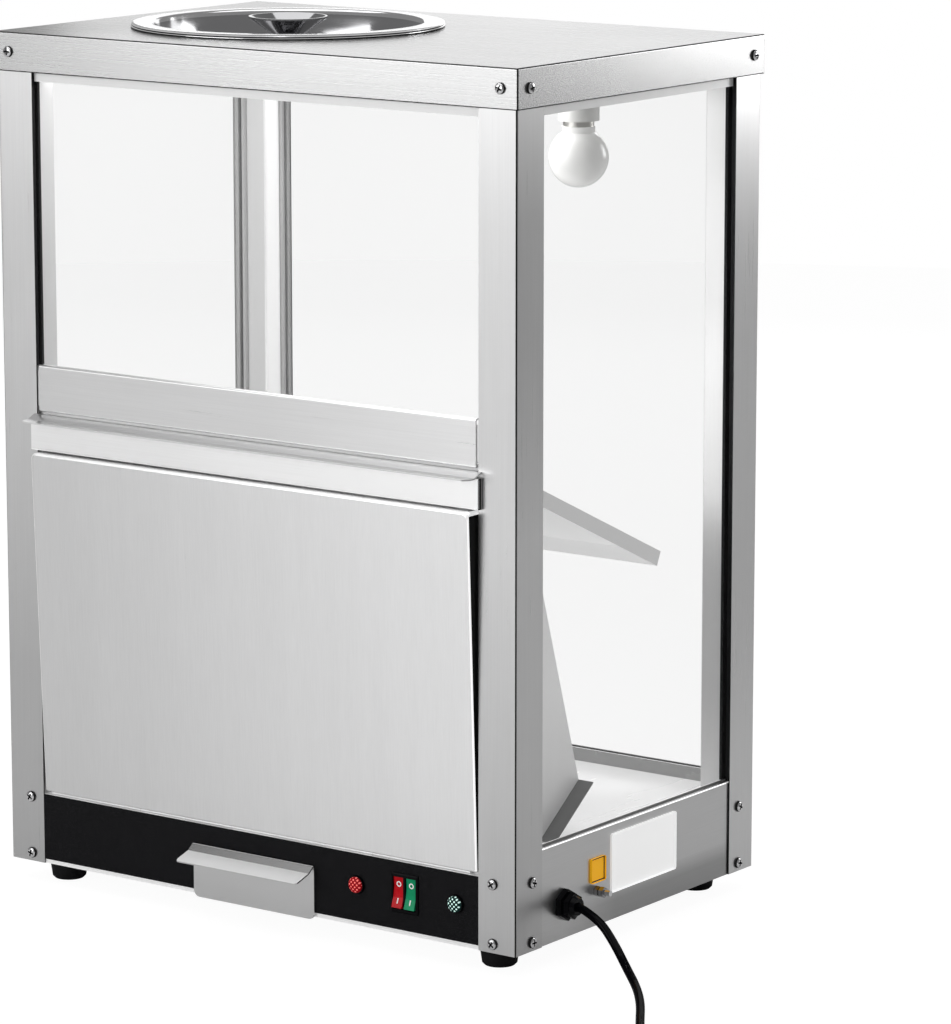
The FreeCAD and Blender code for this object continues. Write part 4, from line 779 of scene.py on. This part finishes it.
# Lamp. A white moulded holder under the cap, the bulb's aluminium cap in its bore, and the round
# frosted bulb. The terminal block in the base is the same white moulding.
porcelain = Finish("lamp_holder_white", (0.86, 0.86, 0.84), 0.28)
porcelain.bump(porcelain.noise(porcelain.place(), 60.0), 0.08, 0.0008)
finish_nodes(porcelain, "lamp_holder", "terminal_block")
bulb_metal = Finish("bulb_cap_metal", (0.74, 0.73, 0.70), 0.30, 1.0)
finish_nodes(bulb_metal, "bulb_cap")
frost = Finish("bulb_frosted_glass", (0.92, 0.92, 0.90), 0.24, Coat_Weight=0.4,
               Coat_Roughness=0.08)
frost.set("Emission Color", white).set("Emission Strength", 0.08)
frost.set("Base Color", frost.mix(frost.noise(frost.place(), 30.0), (0.88, 0.88, 0.86),
                                  (0.95, 0.95, 0.94)))
finish_nodes(frost, "bulb")


# Heater: a steel tube bent to a U, which hangs on its straps under the deck. Its sheath has gone
# dark and dull with heat.
sheath_steel = Finish("heater_sheath", (0.16, 0.16, 0.16), 0.5, 1.0)
scorch = sheath_steel.noise(sheath_steel.place(), 25.0, 4.0)
sheath_steel.set("Base Color", sheath_steel.mix(scorch, (0.10, 0.10, 0.11), (0.26, 0.23, 0.20)))
finish_nodes(sheath_steel, "heating_element")


# Indicator lenses: clear coloured plastic over a net of small pyramids, one red and one green,
# each seated inside the rim of its body.
def coloured_lens(name, colour, deep, shine):
    """A lens with a painted highlight on each pyramid of its net and a deep tone between them,
    both glowing.
    """
    lens = Finish(name, colour, 0.10, Specular_IOR_Level=0.08)
    across, up = lens.axes()[::2]
    net = [((across + up * way) * (math.pi / (lens_pitch * mm))).math("SINE").math("ABSOLUTE")
           for way in (1.0, -1.0)]
    peaks = net[0] * net[1]
    # Painted highlight on each pyramid, glowing with the deep tone.
    painted_glints = peaks.rising(spot_foot, spot_top)
    lens.set("Base Color", lens.mix(painted_glints, deep, shine))
    lens.set("Emission Color", lens.mix(painted_glints, deep, shine)).set("Emission Strength", 0.40)
    lens.bump(peaks, 0.4, 0.0005)
    return lens


lens_pitch = 4.0
spot_foot, spot_top = 0.58, 0.78
finish_nodes(coloured_lens("red_lens", (0.60, 0.03, 0.03), (0.24, 0.002, 0.006),
                           (0.95, 0.19, 0.17)), "red_lens")
finish_nodes(coloured_lens("green_lens", (0.10, 0.30, 0.20), (0.001, 0.018, 0.016),
                           (0.72, 1.0, 0.92)), "green_lens")


# Rockers: translucent coloured plastic, each with a white ring at its top and a white bar at
# its bottom that stand for off and on.
def coloured_rocker(name, colour, deep, middle):
    """Plastic with its two marks, drawn by distance from the rocker's middle line."""
    plastic = Finish(name, colour, 0.20, Specular_IOR_Level=0.10)
    centre = cabinet_point(middle, 0.0, rocker_middle)
    x, z = plastic.axes()[::2]
    across = (x - centre[0]).math("ABSOLUTE")
    up = z - centre[2]
    over = up - ring_above * mm
    from_ring = (across * across + over * over).math("SQRT")
    ring = (from_ring > ring_hole * mm) * (from_ring < ring_radius * mm)
    under = (up + bar_below * mm).math("ABSOLUTE")
    bar = (across < bar_half_width * mm) * (under < bar_half_height * mm)
    body = plastic.mix(plastic.noise(plastic.place(), 260.0), deep, colour)
    plastic.set("Base Color", plastic.mix((ring + bar).clipped(), body, (0.95, 0.95, 0.95)))
    return plastic


rocker_middle, red_middle, green_middle = 55.3, 155.5, 168.5
ring_above, ring_radius, ring_hole = 7.6, 2.5, 1.4
bar_below, bar_half_width, bar_half_height = 6.6, 0.6, 2.2
finish_nodes(coloured_rocker("red_rocker", (0.62, 0.006, 0.014), (0.40, 0.003, 0.008),
                             red_middle), "rocker_red")
finish_nodes(coloured_rocker("green_rocker", (0.008, 0.36, 0.16), (0.004, 0.22, 0.09),
                             green_middle), "rocker_green")


# Floor. A wide round sheet of pale paper under the unit. The camera sees it nearly washed out, so
# that only the soft shadows at the feet stay.
floor_radius, wash_strength, wash_share = 4.0, 1.12, 0.85
bpy.ops.object.select_all(action="DESELECT")
bpy.ops.mesh.primitive_circle_add(vertices=96, radius=floor_radius, fill_type="NGON",
                                  location=(0, 0, 0))
floor = bpy.context.object
floor.name = "floor"
paper = Finish("floor_paper", (0.74, 0.74, 0.74), 0.7)
washed_out = paper.make("ShaderNodeEmission", {}, {"Color": white, "Strength": wash_strength})
from_camera = paper.make("ShaderNodeLightPath", output="Is Camera Ray")
paper_mix = paper.make("ShaderNodeMixShader", {}, {0: from_camera * wash_share, 2: washed_out})
paper.tree.links.new(paper.shader.outputs[0], paper_mix.socket.node.inputs[1])
paper.tree.links.new(paper_mix.socket, paper.tree.nodes["Material Output"].inputs[0])
floor.data.materials.append(paper.material)


# Light. A dim room that the camera sees as plain white, four large soft boxes round the unit, a
# small one near the right rear corner, and a faint one under the cap that shines down inside.
room_white = (1.0, 1.0, 1.0, 1.0)
room_strength, seen_strength = 0.24, 1.0
world = bpy.data.worlds.new("room")
scene.world = world
world.use_nodes = True
room = world.node_tree
back = room.nodes["Background"]
back.inputs[0].default_value = room_white
back.inputs[1].default_value = room_strength
seen = room.nodes.new("ShaderNodeBackground")
seen.inputs[0].default_value = room_white
seen.inputs[1].default_value = seen_strength
path = room.nodes.new("ShaderNodeLightPath")
either = room.nodes.new("ShaderNodeMixShader")
room.links.new(path.outputs["Is Camera Ray"], either.inputs[0])
room.links.new(back.outputs[0], either.inputs[1])
room.links.new(seen.outputs[0], either.inputs[2])
room.links.new(either.outputs[0], room.nodes["World Output"].inputs[0])


def soft_box(name, place, aim, size, power):
    """An area lamp of the given size and power in watts, turned from its place to its aim."""
    data = bpy.data.lights.new(name, "AREA")
    data.shape = "RECTANGLE"
    data.size, data.size_y = size
    data.energy = power
    lamp = bpy.data.objects.new(name, data)
    lamp.location = place
    lamp.rotation_euler = (Vector(aim) - Vector(place)).to_track_quat("-Z", "Y").to_euler()
    lamp.visible_camera = False
    scene.collection.objects.link(lamp)


soft_box("top_box", (-0.3, -0.5, 2.6), (-0.3, -0.5, 0.0), (3.2, 3.2), 40.0)
soft_box("left_box", (-1.15, -3.2, 1.15), (0.0, 0.0, 0.5), (2.8, 1.6), 40.0)
soft_box("rear_box", (-1.45, 2.9, 1.1), (0.0, 0.0, 0.6), (2.2, 1.2), 8.0)
soft_box("right_box", (1.6, 2.9, 1.0), (0.0, 0.0, 0.6), (1.6, 1.2), 10.0)
soft_box("corner_box", (0.70, 1.0, 0.88), (0.28, 0.18, 0.72), (0.4, 0.5), 2.2)
soft_box("chamber_box", (-0.02, -0.01, 0.715), (-0.02, -0.01, 0.0), (0.46, 0.28), 1.3)
